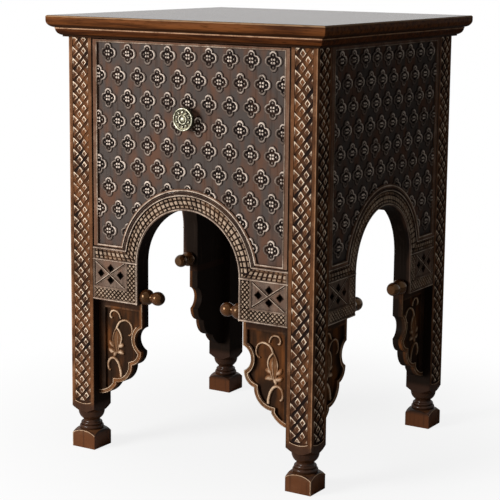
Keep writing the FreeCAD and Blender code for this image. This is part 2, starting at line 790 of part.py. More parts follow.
def make_finial(name, side, hand):
    """A turned double bead whose spigot sits in the jamb of an arch."""
    face, half = side_frame(side)
    body = new_body(name)
    base = size.finial_base_long
    neck = base + size.finial_neck_long
    end = neck + size.finial_end_long
    profile = sketch_on(body, "XZ_Plane")
    corners = [
        at(-size.spigot_long, 0),
        at(-size.spigot_long, size.spigot_rad),
        at(0, size.spigot_rad),
        at(0, size.finial_base_rad),
        bow_to(base, size.finial_neck_rad, size.finial_base_bulge, -1),
        at(neck, size.finial_neck_rad),
        bow_to(end, size.finial_neck_rad, size.finial_end_bulge, -1),
        at(end, 0),
    ]
    draw(profile, corners)
    turn_about(body, "Revolution", profile, "H_Axis")
    away = size.arch_radius * hand
    depth = size.panel_setback + size.frame_thick / 2 - face
    turn = SIDE_TURN[side]
    inward = 180 if hand > 0 else 0
    spots = {"front": (away, depth), "left": (depth, -away), "right": (-depth, away)}
    x, y = spots[side]
    move_to(body, x, y, finial_level, turn + inward)


# The top and its mouldings
def make_top_board():
    """The top, rounded above and below its edge, bored for dowels and screws."""
    body = new_body("top_board")
    outline = sketch_on(body, "XY_Plane", post_top)
    draw_box(outline, -size.top_width / 2, -size.top_depth / 2, size.top_width / 2, size.top_depth / 2)
    board = pad(body, outline, size.top_thick)
    doc.recompute()
    lower = round_edges(body, board, post_top.number, size.top_edge_round)
    doc.recompute()
    round_edges(body, lower, size.table_height.number, size.top_arris)
    bores = sketch_on(body, "XY_Plane", post_top)
    for side_x in (-1, 1):
        for side_y in (-1, 1):
            draw_ring(bores, post_x * side_x, post_y * side_y, size.dowel_rad + size.joint_play)
    pocket(body, bores, size.dowel_up + size.joint_play, reverse=True)
    pilots = sketch_on(body, "XY_Plane", post_top)
    for side_x in (-1, 1):
        for step in (-1, 0, 1):
            radius = size.screw_rad + size.joint_play
            draw_ring(pilots, kicker_middle * side_x, size.top_screw_pitch * step, radius)
    pocket(body, pilots, size.top_screw_deep + size.joint_play, reverse=True)


def round_edges(body, base, level, radius):
    """Round the four outer edges of a board at one level."""
    names = []
    for number, edge in enumerate(base.Shape.Edges, start=1):
        box = edge.BoundBox
        if abs(box.ZMin - level) < 1e-6 and abs(box.ZMax - level) < 1e-6:
            names.append(f"Edge{number}")
    fillet = body.newObject("PartDesign::Fillet", f"{body.Name}_fillet")
    fillet.Base = (base, names)
    fillet.Radius = radius.number
    bind(fillet, "Radius", radius)
    return fillet


def make_cornice(side):
    """One mitred strip of the moulding under the top."""
    face, half = side_frame(side)
    corner = half + size.post_size
    body = new_body(f"cornice_{side}")
    section = sketch_on(body, "YZ_Plane")
    foot = -face - size.cornice_foot
    head = -face - size.cornice_out
    corners = [
        at(-face, cornice_bottom),
        at(-face, post_top),
        at(head, post_top),
        at(head, post_top - size.cornice_fillet),
        bow_to(foot, cornice_bottom + size.cornice_fillet, size.cornice_bulge, 1),
        at(foot, cornice_bottom),
    ]
    draw(section, corners)
    pad(body, section, (corner + size.cornice_out) * 2, middle=True)
    mitres = sketch_on(body, "XY_Plane", post_top)
    over = size.cornice_fillet
    for hand in (-1, 1):
        outer = (corner + size.cornice_out + over) * hand
        mitre = [
            at((corner - over) * hand, over - face),
            at(outer, head - over),
            at(outer, over - face),
        ]
        draw(mitres, mitre)
    pocket(body, mitres, size.cornice_high)
    move_to(body, 0, 0, 0, SIDE_TURN[side])


def make_front_rail():
    """The rail over the drawer, tongued into the front posts."""
    face, half = side_frame("front")
    front = face - size.panel_setback
    body = new_body("front_rail")
    outline = sketch_on(body, "XZ_Plane", front - size.rail_deep)
    draw_box(outline, -half, cornice_bottom, half, post_top)
    pad(body, outline, size.rail_deep)
    add_tongues(body, face, half, cornice_bottom, post_top)


def make_dowels():
    """Four dowels that hold the top on the posts."""
    members = []
    for side_x in (-1, 1):
        for side_y in (-1, 1):
            dowel = doc.addObject("Part::Cylinder", "dowel")
            dowel.Radius = size.dowel_rad.number
            bind(dowel, "Radius", size.dowel_rad)
            bind(dowel, "Height", size.dowel_down + size.dowel_up)
            move_to(dowel, post_x * side_x, post_y * side_y, post_top - size.dowel_down)
            members.append(dowel)
    group("post_dowels", members)


def make_top_screws():
    """Six countersunk screws through the kickers into the top."""
    members = []
    for side_x in (-1, 1):
        for step in (-1, 0, 1):
            x = kicker_middle * side_x
            y = size.top_screw_pitch * step
            head = doc.addObject("Part::Cone", "screw_head")
            bind(head, "Radius1", size.screw_head_rad)
            bind(head, "Radius2", size.screw_rad)
            bind(head, "Height", size.screw_head_high)
            move_to(head, x, y, kicker_low)
            shank = doc.addObject("Part::Cylinder", "screw_shank")
            bind(shank, "Radius", size.screw_rad)
            bind(shank, "Height", post_top - kicker_low + size.top_screw_deep)
            move_to(shank, x, y, kicker_low)
            screw = doc.addObject("Part::Fuse", "top_screw")
            screw.Base = head
            screw.Tool = shank
            members.append(screw)
    group("top_screws", members)


# What carries the drawer
def make_runner(name, hand):
    """A ledge under one drawer side with a guide beside it, fixed to the side panel."""
    body = new_body(name)
    ledge_end = side_outer - size.drawer_side_thick
    guide = side_outer + size.guide_gap
    section = sketch_on(body, "XZ_Plane")
    corners = [
        at(ledge_end * hand, ledge_top - size.runner_thick),
        at(panel_inner * hand, ledge_top - size.runner_thick),
        at(panel_inner * hand, ledge_top + size.guide_high),
        at(guide * hand, ledge_top + size.guide_high),
        at(guide * hand, ledge_top),
        at(ledge_end * hand, ledge_top),
    ]
    draw(section, corners)
    pad(body, section, between_posts * 2, middle=True)


def make_kicker(name, hand):
    """A strip over one drawer side that also carries the screws of the top."""
    body = new_body(name)
    section = sketch_on(body, "XZ_Plane", -between_posts)
    inner = side_outer - size.drawer_side_thick
    draw_box(section, inner * hand, kicker_low, panel_inner * hand, post_top)
    pad(body, section, between_posts + body_depth / 2 - size.panel_setback - size.rail_deep)
    holes = sketch_on(body, "XY_Plane", post_top)
    sinks = sketch_on(body, "XY_Plane", kicker_low + size.screw_head_high)
    for step in (-1, 0, 1):
        y = size.top_screw_pitch * step
        draw_ring(holes, kicker_middle * hand, y, size.screw_rad + size.joint_play)
        draw_ring(sinks, kicker_middle * hand, y, size.screw_head_rad + size.joint_play)
    pocket(body, holes, post_top - kicker_low)
    pocket(body, sinks, size.screw_head_high)


def make_stop(name, hand):
    """A block on a runner that stops the closed drawer."""
    stop = doc.addObject("Part::Box", name)
    stop.Label = name
    pieces.append(stop)
    bind(stop, "Length", size.drawer_side_thick)
    bind(stop, "Width", size.stop_long)
    bind(stop, "Height", size.stop_high)
    left = side_outer - size.drawer_side_thick if hand > 0 else -side_outer
    move_to(stop, left, drawer_end + size.slide_gap, ledge_top)


# The drawer
def tail_levels(index):
    """Foot and head of one dovetail at its root, up the drawer side."""
    high = back_top - back_foot
    pitch = high / TAIL_COUNT
    foot = back_foot + pitch * index + pitch / 4
    return foot, foot + pitch / 2


def make_drawer_front():
    """The flowered front, arched below to clear the ring, grooved behind for the drawer box."""
    face, half = side_frame("front")
    front = face - size.panel_setback
    gap = size.drawer_gap
    body = new_body("drawer_front")
    outline = sketch_on(body, "XZ_Plane", front - size.drawer_front_thick)
    edge = half - gap
    head = cornice_bottom - gap
    draw(outline, ring_outline(edge, band_top + gap, ring_radius + gap) + [at(-edge, head), at(edge, head)])
    pad(body, outline, size.drawer_front_thick)
    field = sketch_on(body, "XZ_Plane", front)
    flowered_field(field, half - size.lip_side, field_top)
    pocket(body, field, size.field_deep)
    rear = front - size.drawer_front_thick
    dados = sketch_on(body, "XZ_Plane", rear)
    side_head = side_low + side_high
    for hand in (-1, 1):
        draw_box(dados, side_inner * hand, side_low, side_outer * hand, side_head)
    pocket(body, dados, size.drawer_dado, reverse=True)
    groove = sketch_on(body, "XZ_Plane", rear)
    play = size.joint_play
    draw_box(groove, -side_inner, bottom_low - play, side_inner, bottom_low + size.bottom_thick + play)
    pocket(body, groove, size.bottom_groove + play, reverse=True)
    raise_flowers(body, front - size.field_deep, half - size.lip_side)
    seat = sketch_on(body, "XZ_Plane", front)
    draw_ring(seat, 0, knob_level, size.knob_foot_rad + play)
    pocket(body, seat, size.field_deep + size.knob_seat_deep)
    hole = sketch_on(body, "XZ_Plane", front)
    draw_ring(hole, 0, knob_level, size.screw_rad + play)
    pocket(body, hole, size.drawer_front_thick)


def make_drawer_side(name, hand):
    """A drawer side with dovetails at its back end and a groove for the bottom."""
    body = new_body(name)
    low = side_low
    high = side_low + side_high
    shoulder = drawer_end - size.drawer_back_thick
    plane = side_inner if hand > 0 else -side_outer
    outline = sketch_on(body, "YZ_Plane", plane)
    corners = [at(front_rear - size.drawer_dado, high), at(front_rear - size.drawer_dado, low)]
    corners += [at(drawer_end, low), at(drawer_end, back_foot)]
    corners += [at(shoulder, back_foot)]
    for index in range(TAIL_COUNT):
        foot, head = tail_levels(index)
        corners += [at(shoulder, foot), at(drawer_end, foot - size.tail_slope)]
        corners += [at(drawer_end, head + size.tail_slope), at(shoulder, head)]
    corners += [at(shoulder, high)]
    draw(outline, corners)
    pad(body, outline, size.drawer_side_thick)
    depth = size.bottom_groove + size.joint_play
    groove_plane = side_inner + depth if hand > 0 else -side_inner
    groove = sketch_on(body, "YZ_Plane", groove_plane)
    start = front_rear - size.drawer_dado
    play = size.joint_play
    draw_box(groove, start, bottom_low - play, drawer_end, bottom_low + size.bottom_thick + play)
    pocket(body, groove, depth)


def make_drawer_back():
    """The drawer back, its pins between the dovetails of the sides."""
    body = new_body("drawer_back")
    shoulder = drawer_end - size.drawer_back_thick
    board = sketch_on(body, "YZ_Plane")
    draw_box(board, shoulder, back_foot, drawer_end, back_top)
    pad(body, board, side_inner * 2, middle=True)
    for plane in (side_inner, -side_outer):
        pins = sketch_on(body, "YZ_Plane", plane)
        foot = back_foot
        foot_end = back_foot
        for index in range(TAIL_COUNT):
            tail_foot, tail_head = tail_levels(index)
            pin_end = tail_foot - size.tail_slope
            draw(pins, [at(shoulder, foot), at(drawer_end, foot_end), at(drawer_end, pin_end),
                        at(shoulder, tail_foot)])
            foot = tail_head
            foot_end = tail_head + size.tail_slope
        draw(pins, [at(shoulder, foot), at(drawer_end, foot_end), at(drawer_end, back_top),
                    at(shoulder, back_top)])
        pad(body, pins, size.drawer_side_thick)


def make_drawer_bottom():
    """The drawer bottom, held in grooves of the sides and the front."""
    bottom = doc.addObject("Part::Box", "drawer_bottom")
    bottom.Label = "drawer_bottom"
    pieces.append(bottom)
    width = side_inner + size.bottom_groove
    start = front_rear - size.bottom_groove
    bind(bottom, "Length", width * 2)
    bind(bottom, "Width", drawer_end - start)
    bind(bottom, "Height", size.bottom_thick)
    move_to(bottom, -width, start, bottom_low)


def make_knob():
    """A turned stem with a pierced rosette, bored behind for its screw."""
    body = new_body("drawer_knob")
    stand = -size.knob_stand
    back = stand + size.knob_disc
    profile = sketch_on(body, "YZ_Plane")
    corners = [
        at(0, 0),
        at(0, size.knob_foot_rad),
        at(-size.knob_foot_high, size.knob_stem_rad),
        at(back + size.knob_dome, size.knob_stem_rad),
        at(back, size.knob_rad),
        at(stand, size.knob_rad),
        bow_to(stand, size.knob_button_rad, size.knob_dome, -1),
        bow_to(stand - size.knob_dome, 0, size.knob_dome / 2, -1),
    ]
    draw(profile, corners)
    turn_about(body, "Revolution", profile, "H_Axis")
    bore = sketch_on(body, "XZ_Plane")
    draw_ring(bore, 0, 0, size.screw_rad + size.joint_play)
    pocket(body, bore, size.knob_screw_deep + size.joint_play, reverse=True)
    petal = sketch_on(body, "XZ_Plane", size.knob_stand + size.knob_dome * 2)
    draw_ring(petal, 0, size.knob_petal_ring, size.knob_petal_rad)
    piercing = pocket(body, petal, size.knob_disc + size.knob_dome * 4)
    doc.recompute()
    pattern = body.newObject("PartDesign::PolarPattern", "knob_petals")
    pattern.Originals = [piercing]
    axis = next(item for item in body.Origin.OriginFeatures if item.Role == "Y_Axis")
    pattern.Axis = (axis, [""])
    pattern.Angle = 360
    pattern.Occurrences = PETAL_COUNT
    body.Tip = pattern
    move_to(body, 0, knob_seat, knob_level)


def make_knob_screw():
    """The screw that holds the knob from inside the drawer."""
    body = new_body("knob_screw")
    tip = knob_seat - front_rear - size.knob_screw_deep
    profile = sketch_on(body, "YZ_Plane")
    corners = [
        at(tip, 0),
        at(tip, size.screw_rad),
        at(0, size.screw_rad),
        at(0, size.screw_head_rad),
        bow_to(size.screw_head_high, 0, size.screw_head_high / 4, -1),
    ]
    draw(profile, corners)
    turn_about(body, "Revolution", profile, "H_Axis")
    move_to(body, 0, front_rear, knob_level)


# Checking and writing
def check_document():
    """Stop when an object failed, a shape is not sound or a cut took nothing away."""
    for item in doc.Objects:
        if "Invalid" in item.State or "Error" in item.State:
            raise RuntimeError(f"{item.Label} did not recompute: {item.State}")
        if item.TypeId in ("PartDesign::Pocket", "PartDesign::Groove"):
            taken = item.BaseFeature.Shape.Volume - item.Shape.Volume
            if taken < 1:
                raise RuntimeError(f"{item.Label} cut nothing")
    for piece in pieces:
        if piece.Shape.isNull() or not piece.Shape.isValid():
            raise RuntimeError(f"{piece.Label} has no sound shape")


def write_parts():
    """Write one file for each piece."""
    os.makedirs("parts", exist_ok=True)
    for piece in pieces:
        piece.Shape.exportStep(f"parts/{piece.Label}.step")
        print(f"{piece.Label}: {len(piece.Shape.Solids)} solid(s), {piece.Shape.Volume / 1000:.1f} cm3")


doc = FreeCAD.newDocument("bedside_table")
pieces = []
size = make_sheet(doc)

# Levels above the floor
foot_beads = size.foot_shoulder_high + size.foot_bead_high + size.foot_ring_high + size.foot_neck_high
turning_top = size.foot_block_high + foot_beads + size.foot_cup_high + size.foot_flare_high
post_top = size.table_height - size.top_thick
cornice_bottom = post_top - size.cornice_high
field_top = cornice_bottom - size.drawer_gap - size.lip_top
band_bottom = size.arch_spring - size.band_drop
band_top = band_bottom + size.band_high
flower_top = field_top - size.flower_head
flower_row = (flower_top - band_top - size.lip_bottom - size.flower_foot) / FLOWER_ROWS
knob_level = cornice_bottom - size.knob_drop
block_bottom = band_bottom - size.block_high
finial_level = block_bottom + size.finial_lift
bite_top = block_bottom - size.bite_drop
cusp_level = bite_top - size.bite_high
upper_level = cusp_level - size.upper_fall
middle_level = upper_level - size.middle_fall
tail_level = middle_level - size.tail_fall
ring_radius = size.arch_radius + size.ring_width
kicker_low = post_top - size.kicker_thick
side_low = size.arch_spring + ring_radius + size.drawer_lift
side_high = kicker_low - size.guide_gap - side_low
bottom_low = side_low + size.bottom_lift
back_foot = bottom_low + size.bottom_thick
back_top = side_low + side_high - size.drawer_back_drop
ledge_top = side_low - size.slide_gap

# Distances from the middle of the table
body_width = size.top_width - size.top_overhang * 2
body_depth = size.top_depth - size.top_overhang * 2
post_x = body_width / 2 - size.post_size / 2
post_y = body_depth / 2 - size.post_size / 2
between_posts = body_depth / 2 - size.post_size
panel_inner = body_width / 2 - size.panel_setback - size.frame_thick
side_outer = body_width / 2 - size.post_size - size.drawer_side_inset
side_inner = side_outer - size.drawer_side_thick
kicker_middle = (side_inner + panel_inner) / 2
front_rear = size.panel_setback + size.drawer_front_thick - body_depth / 2
drawer_end = body_depth / 2 - size.panel_setback - size.back_thick - size.drawer_rear_gap
knob_seat = size.panel_setback + size.field_deep + size.knob_seat_deep - body_depth / 2

# The carcass
make_top_board()
for side in ("front", "back", "left", "right"):
    make_cornice(side)
for side_y, row in ((-1, "front"), (1, "back")):
    for side_x, column in ((-1, "left"), (1, "right")):
        make_post(f"post_{row}_{column}", side_x, side_y)
make_front_rail()
for side in ("front", "left", "right"):
    make_arch_frame(side)
for side in ("left", "right"):
    make_side_panel(side)
make_back_panel()
JAMBS = {
    "front": ((-1, "left"), (1, "right")),
    "left": ((-1, "back"), (1, "front")),
    "right": ((-1, "front"), (1, "back")),
}
for side, jambs in JAMBS.items():
    for hand, jamb in jambs:
        make_bracket(f"bracket_{side}_{jamb}", side, hand)
        make_finial(f"finial_{side}_{jamb}", side, hand)
make_dowels()
make_top_screws()

# The drawer and what carries it
make_drawer_front()
make_drawer_back()
make_drawer_bottom()
make_knob()
make_knob_screw()
for hand, word in ((-1, "left"), (1, "right")):
    make_runner(f"drawer_runner_{word}", hand)
    make_kicker(f"drawer_kicker_{word}", hand)
    make_stop(f"drawer_stop_{word}", hand)
    make_drawer_side(f"drawer_side_{word}", hand)

doc.recompute()
check_document()
write_parts()
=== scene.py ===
"""Carved bedside table: carving, finishes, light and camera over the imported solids."""

import logging
import math
from dataclasses import dataclass
from enum import Enum
from typing import Iterable, Optional, Sequence, Union

import bmesh
import bpy
from mathutils import Matrix, Vector
from mathutils.geometry import interpolate_bezier


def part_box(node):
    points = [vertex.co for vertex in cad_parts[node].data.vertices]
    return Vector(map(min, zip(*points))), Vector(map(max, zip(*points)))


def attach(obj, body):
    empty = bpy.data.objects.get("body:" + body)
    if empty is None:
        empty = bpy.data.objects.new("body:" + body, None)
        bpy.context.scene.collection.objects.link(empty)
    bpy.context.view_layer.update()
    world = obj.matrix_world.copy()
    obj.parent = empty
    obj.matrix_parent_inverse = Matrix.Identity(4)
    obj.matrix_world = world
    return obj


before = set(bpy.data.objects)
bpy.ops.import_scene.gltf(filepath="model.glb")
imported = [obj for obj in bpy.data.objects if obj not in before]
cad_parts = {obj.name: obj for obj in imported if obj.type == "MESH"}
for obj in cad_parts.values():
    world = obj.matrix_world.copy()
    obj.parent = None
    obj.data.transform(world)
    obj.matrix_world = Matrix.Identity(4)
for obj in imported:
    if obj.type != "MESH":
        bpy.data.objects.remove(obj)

LOG = logging.getLogger("bedside_table")
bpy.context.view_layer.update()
MM = 0.001
SINK = 0.3  # how far carving is let into its ground, in millimetres
SLACK = 0.12  # how much nearer than asked an inset line may come, in millimetres

Point = tuple[float, float]
Path = list[Point]
Colour = tuple[float, float, float]
Bead = tuple[float, float, float]  # width, height and level of its ground
Quad = tuple[float, float, float, float]
Socket = bpy.types.NodeSocket
Input = Union[float, Sequence[float], Socket]

BLACK: Colour = (0.012, 0.008, 0.007)  # old stain in the deepest cuts


class Body(Enum):
    """The two bodies that pieces ride on."""

    CARCASS = "carcass"
    DRAWER = "drawer"


class Slot(Enum):
    """The finishes that the record names."""

    TOP = "polished_top"
    CARVED = "carved_wood"
    PLAIN = "plain_wood"
    BRASS = "aged_brass"
    STEEL = "screw_steel"


class Side(Enum):
    """The four sides, each with its turn from the front in degrees."""

    FRONT = 0.0
    LEFT = -90.0
    RIGHT = 90.0
    BACK = 180.0

    @property
    def label(self) -> str:
        """Name of the side in node and piece names."""
        return self.name.lower()

    def plane(self, depth: float) -> Matrix:
        """Place of a flat ground on this side.

        Args:
            depth: distance of the ground from the middle of the table, in millimetres.

        Returns:
            Matrix from (across, up, out) in millimetres to the frame in metres.
        """
        stand = Matrix(((1, 0, 0, 0), (0, 0, -1, -depth), (0, 1, 0, 0), (0, 0, 0, 1)))
        return Matrix.Scale(MM, 4) @ Matrix.Rotation(math.radians(self.value), 4, "Z") @ stand


class Grain(Enum):
    """Direction of the wood grain, as the scale of its figure along each axis."""

    ACROSS = (0.06, 1.0, 1.0)
    DEEP = (1.0, 0.06, 1.0)
    UPRIGHT = (1.0, 1.0, 0.06)


class Height(Enum):
    """Where a finish reads how far a spot stands out of its ground."""

    CREST = "crest"
    DEPTH = "depth"
    FLAT = "flat"


def arc(centre: Point, radius: float, start: float, end: float, steps: int) -> Path:
    """Points along a circular arc.

    Args:
        centre: middle of the circle.
        radius: radius of the circle.
        start: first angle in degrees.
        end: last angle in degrees.
        steps: number of chords.

    Returns:
        The points from start to end.
    """
    turns = [math.radians(start + (end - start) * i / steps) for i in range(steps + 1)]
    return [(centre[0] + radius * math.cos(t), centre[1] + radius * math.sin(t)) for t in turns]


def bow(start: Point, end: Point, rise: float, steps: int = 12) -> Path:
    """Points along an arc given by its chord and rise.

    Args:
        start: first end of the chord.
        end: last end of the chord.
        rise: height over the chord, to the left of the way from start to end.
        steps: number of chords that stand for the arc.

    Returns:
        The points from start to end.
    """
    first, last = Vector(start), Vector(end)
    chord = last - first
    left = Vector((-chord.y, chord.x)).normalized()
    radius = (chord.length_squared / 4 + rise * rise) / (2 * rise)
    centre = (first + last) / 2 + left * (rise - radius)
    turn = -4 * math.atan2(rise, chord.length / 2)
    spoke = first - centre
    return [tuple(centre + Matrix.Rotation(turn * i / steps, 2) @ spoke) for i in range(steps + 1)]


def smooth(points: Sequence[Point], steps: int = 6) -> Path:
    """Smooth line through a few points.

    Args:
        points: the points that the line goes through.
        steps: chords between neighbouring points.

    Returns:
        The points of the smooth line.
    """
    spots = [Vector(p).to_3d() for p in points]
    last = len(spots) - 1
    path: Path = []
    for i in range(last):
        before, after = spots[max(i - 1, 0)], spots[min(i + 2, last)]
        leave = spots[i] + (spots[i + 1] - before) / 6
        reach = spots[i + 1] - (after - spots[i]) / 6
        run = interpolate_bezier(spots[i], leave, reach, spots[i + 1], steps + 1)
        path += [(p.x, p.y) for p in run[:-1]]
    return path + [tuple(points[-1])]


def side_steps(path: Path, closed: bool = False) -> list[Vector]:
    """Mitred left-hand steps of unit width along a path.

    Args:
        path: the points of the path.
        closed: whether the last point joins the first.

    Returns:
        One step for each point.
    """
    spots = [Vector(p) for p in path]
    last = len(spots) - 1
    steps = []
    for i, spot in enumerate(spots):
        come = spot - spots[i - 1] if i or closed else spots[1] - spot
        leave = spots[(i + 1) % len(spots)] - spot if i < last or closed else come
        along = (come.normalized() + leave.normalized()).normalized()
        left = Vector((-along.y, along.x))
        square = Vector((-leave.y, leave.x)).normalized()
        steps.append(left / max(0.5, left.dot(square)))
    return steps


def inset_line(path: Path, distance: float) -> Path:
    """Line at an even distance to the left of an open path.

    Args:
        path: the points of the path.
        distance: distance from the path.

    Returns:
        The points of the new line, without the loops at inner corners.
    """
    spots = [Vector(p) for p in path]
    moved = [spot + step * distance for spot, step in zip(spots, side_steps(path))]

    def clearance(point: Vector) -> float:
        """Distance from a point to the path.

        Args:
            point: the point.

        Returns:
            The distance to the nearest chord.
        """
        best = math.inf
        for first, last in zip(spots, spots[1:]):
            run = last - first
            share = (point - first).dot(run) / max(run.length_squared, 1e-9)
            best = min(best, (point - first - run * min(1.0, max(0.0, share))).length)
        return best

    return [tuple(p) for p in moved if clearance(p) > distance - SLACK]


def trim(outline: Path, start: Point, end: Point) -> Path:
    """Part of an outline to the left of a line.

    Args:
        outline: corners of a convex outline.
        start: first point of the line.
        end: last point of the line.

    Returns:
        The corners of the part that is kept, or none.
    """
    line = Vector(end) - Vector(start)
    sides = [line.cross(Vector(p) - Vector(start)) for p in outline]
    kept: Path = []
    for i, point in enumerate(outline):
        before, reach = outline[i - 1], sides[i - 1]
        if (reach > 0) != (sides[i] > 0):
            share = reach / (reach - sides[i])
            kept.append(tuple(Vector(before).lerp(Vector(point), share)))
        if sides[i] > 0:
            kept.append(point)
    return kept


def area(outline: Path) -> float:
    """Area of an outline, whichever way round it runs."""
    pairs = zip(outline, outline[1:] + outline[:1])
    return abs(sum(a[0] * b[1] - a[1] * b[0] for a, b in pairs)) / 2


def cut_to(outline: Path, lines: Iterable[tuple[Point, Point]], least: float) -> Path:
    """Part of an outline to the left of every one of some lines.

    Args:
        outline: corners of a convex outline.
        lines: first and last point of each line.
        least: area up to which the part is dropped.

    Returns:
        The corners of the part that is kept, or none.
    """
    for start, end in lines:
        outline = trim(outline, start, end)
    return outline if len(outline) > 2 and area(outline) > least else []


def mirrored(outline: Path) -> Path:
    """The same outline on the other half of a side."""
    return [(-x, z) for x, z in reversed(outline)]


def diamond(x: float, z: float, half_wide: float, half_high: float) -> Path:
    """Corners of an upright diamond."""
    return [(x - half_wide, z), (x, z - half_high), (x + half_wide, z), (x, z + half_high)]


class Relief:
    """Carving raised on one flat ground, worked in millimetres as (across, up, out)."""

    BEAD = ((-1.0, 0.0), (-0.72, 0.7), (0.0, 1.0), (0.72, 0.7), (1.0, 0.0))
    WALL, BEVEL = 0.55, 0.45  # shares of a block's height below and on its sloping edges

    def __init__(self) -> None:
        """Starts with a bare ground."""
        self.mesh = bmesh.new()

    def _lift(self, outlines: Iterable[Path], base: float, height: float) -> list[bmesh.types.BMFace]:
        """Raises straight-sided blocks.

        Args:
            outlines: outlines of the blocks.
            base: level of their ground.
            height: height of their walls over the ground.

        Returns:
            Their top faces.
        """
        faces = []
        for outline in outlines:
            corners = [self.mesh.verts.new((x, z, base - SINK)) for x, z in outline]
            face = self.mesh.faces.new(corners)
            face.normal_update()
            if face.normal.z < 0:
                face.normal_flip()
            faces.append(face)
        made = bmesh.ops.extrude_face_region(self.mesh, geom=faces, use_keep_orig=True)["geom"]
        tops = [g for g in made if isinstance(g, bmesh.types.BMFace)]
        corners = [g for g in made if isinstance(g, bmesh.types.BMVert)]
        bmesh.ops.translate(self.mesh, vec=(0, 0, height + SINK), verts=corners)
        return tops

    def raise_blocks(self, outlines: Iterable[Path], base: float, height: float,
                     slope: float, dish: float = 0.0, rim: float = 0.0,
                     tilt: Point = (0.0, 0.0)) -> None:
        """Raises flat-topped blocks with sloping edges.

        Args:
            outlines: outlines of the blocks.
            base: level of their ground.
            height: height of their crests over the ground.
            slope: width of the sloping edges.
            dish: depth of the hollow in their tops, if they are dished.
            rim: width of the flat rim round that hollow.
            tilt: rise of their tops for each step across and up.
        """
        tops = self._lift(outlines, base, height * self.WALL)
        for face in tops:
            middle = face.calc_center_median()
            for vert in face.verts:
                vert.co.z += (vert.co - middle).xy.dot(Vector(tilt))
            face.normal_update()
        insets = [(slope, height * self.BEVEL)]
        if dish:
            insets += [(rim, 0.0), (slope, -dish)]
        for width, rise in insets:
            bmesh.ops.inset_individual(
                self.mesh, faces=tops, thickness=width, depth=rise, use_even_offset=True)

    def join(self, shell: bmesh.types.BMesh) -> None:
        """Adds a finished shell to the carving and frees it.

        Args:
            shell: the shell, in the same millimetres.
        """
        scratch = bpy.data.meshes.new("shell")
        shell.to_mesh(scratch)
        shell.free()
        self.mesh.from_mesh(scratch)
        bpy.data.meshes.remove(scratch)

    def skin(self, rings: Sequence[Sequence[Vector]], wrap: bool = False) -> None:
        """Skins closed rings of points into one shell, extruding the first from ring to ring.

        Args:
            rings: rings of equally many points.
            wrap: whether the last ring joins the first.
        """
        shell = bmesh.new()
        first = [shell.verts.new(p) for p in rings[0]]
        edges = [shell.edges.new(pair) for pair in zip(first, first[1:] + first[:1])]
        verts = first
        for ring in list(rings[1:]) + ([rings[0]] if wrap else []):
            made = bmesh.ops.extrude_edge_only(shell, edges=edges)["geom"]
            fresh = {g for g in made if isinstance(g, bmesh.types.BMVert)}
            verts = [next(e.other_vert(v) for e in v.link_edges if e.other_vert(v) in fresh)
                     for v in verts]
            for vert, spot in zip(verts, ring):
                vert.co = spot
            edges = [g for g in made if isinstance(g, bmesh.types.BMEdge)
                     and g.verts[0] in fresh and g.verts[1] in fresh]
        if wrap:
            bmesh.ops.weld_verts(shell, targetmap=dict(zip(verts, first)))
        else:
            shell.faces.new(first)
            shell.faces.new(verts)
        self.join(shell)

    def bead(self, path: Path, width: Union[float, Sequence[float]], height: float,
             base: float, closed: bool = False) -> None:
        """Lays a half-round bead along a path.

        Args:
            path: middle line of the bead.
            width: its width, or one width for each point of the path.
            height: its height over the ground, less where it is narrow.
            base: level of its ground.
            closed: whether the path closes on itself.
        """
        widths = list(width) if isinstance(width, Sequence) else [width] * len(path)
        widest = max(widths)
        rings = []
        for (x, z), step, wide in zip(path, side_steps(path, closed), widths):
            lift = height * (wide / widest) ** 0.5
            rings.append([
                Vector((x - step.x * across * wide / 2, z - step.y * across * wide / 2,
                        base + (lift * out if out else -SINK)))
                for across, out in self.BEAD])
        self.skin(rings, closed)

    def finish(self, name: str, plane: Matrix, material: bpy.types.Material, body: Body,
               crest: tuple[float, float], slot: Slot = Slot.CARVED,
               sharp: float = 40.0) -> None:
        """Makes the carving a piece of the table.

        Args:
            name: name of the piece.
            plane: place of its ground.
            material: its finish.
            body: body that it rides on.
            crest: levels that count as hollow and as crest.
            slot: material slot of the record, not used.
            sharp: angle in degrees above which an edge stays sharp.
        """
        low, high = crest
        layer = self.mesh.verts.layers.float.new("crest")
        for vert in self.mesh.verts:
            vert[layer] = min(1.0, max(0.0, (vert.co.z - low) / (high - low)))
        bmesh.ops.recalc_face_normals(self.mesh, faces=self.mesh.faces[:])
        for face in self.mesh.faces:
            face.smooth = True
        self.mesh.transform(plane)
        mesh = bpy.data.meshes.new(name)
        self.mesh.to_mesh(mesh)
        self.mesh.free()
        mesh.set_sharp_from_angle(angle=math.radians(sharp))
        mesh.materials.append(material)
        piece = bpy.data.objects.new(name, mesh)
        bpy.context.scene.collection.objects.link(piece)
        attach(piece, body.value)
        LOG.info("%s: %d faces", name, len(mesh.polygons))


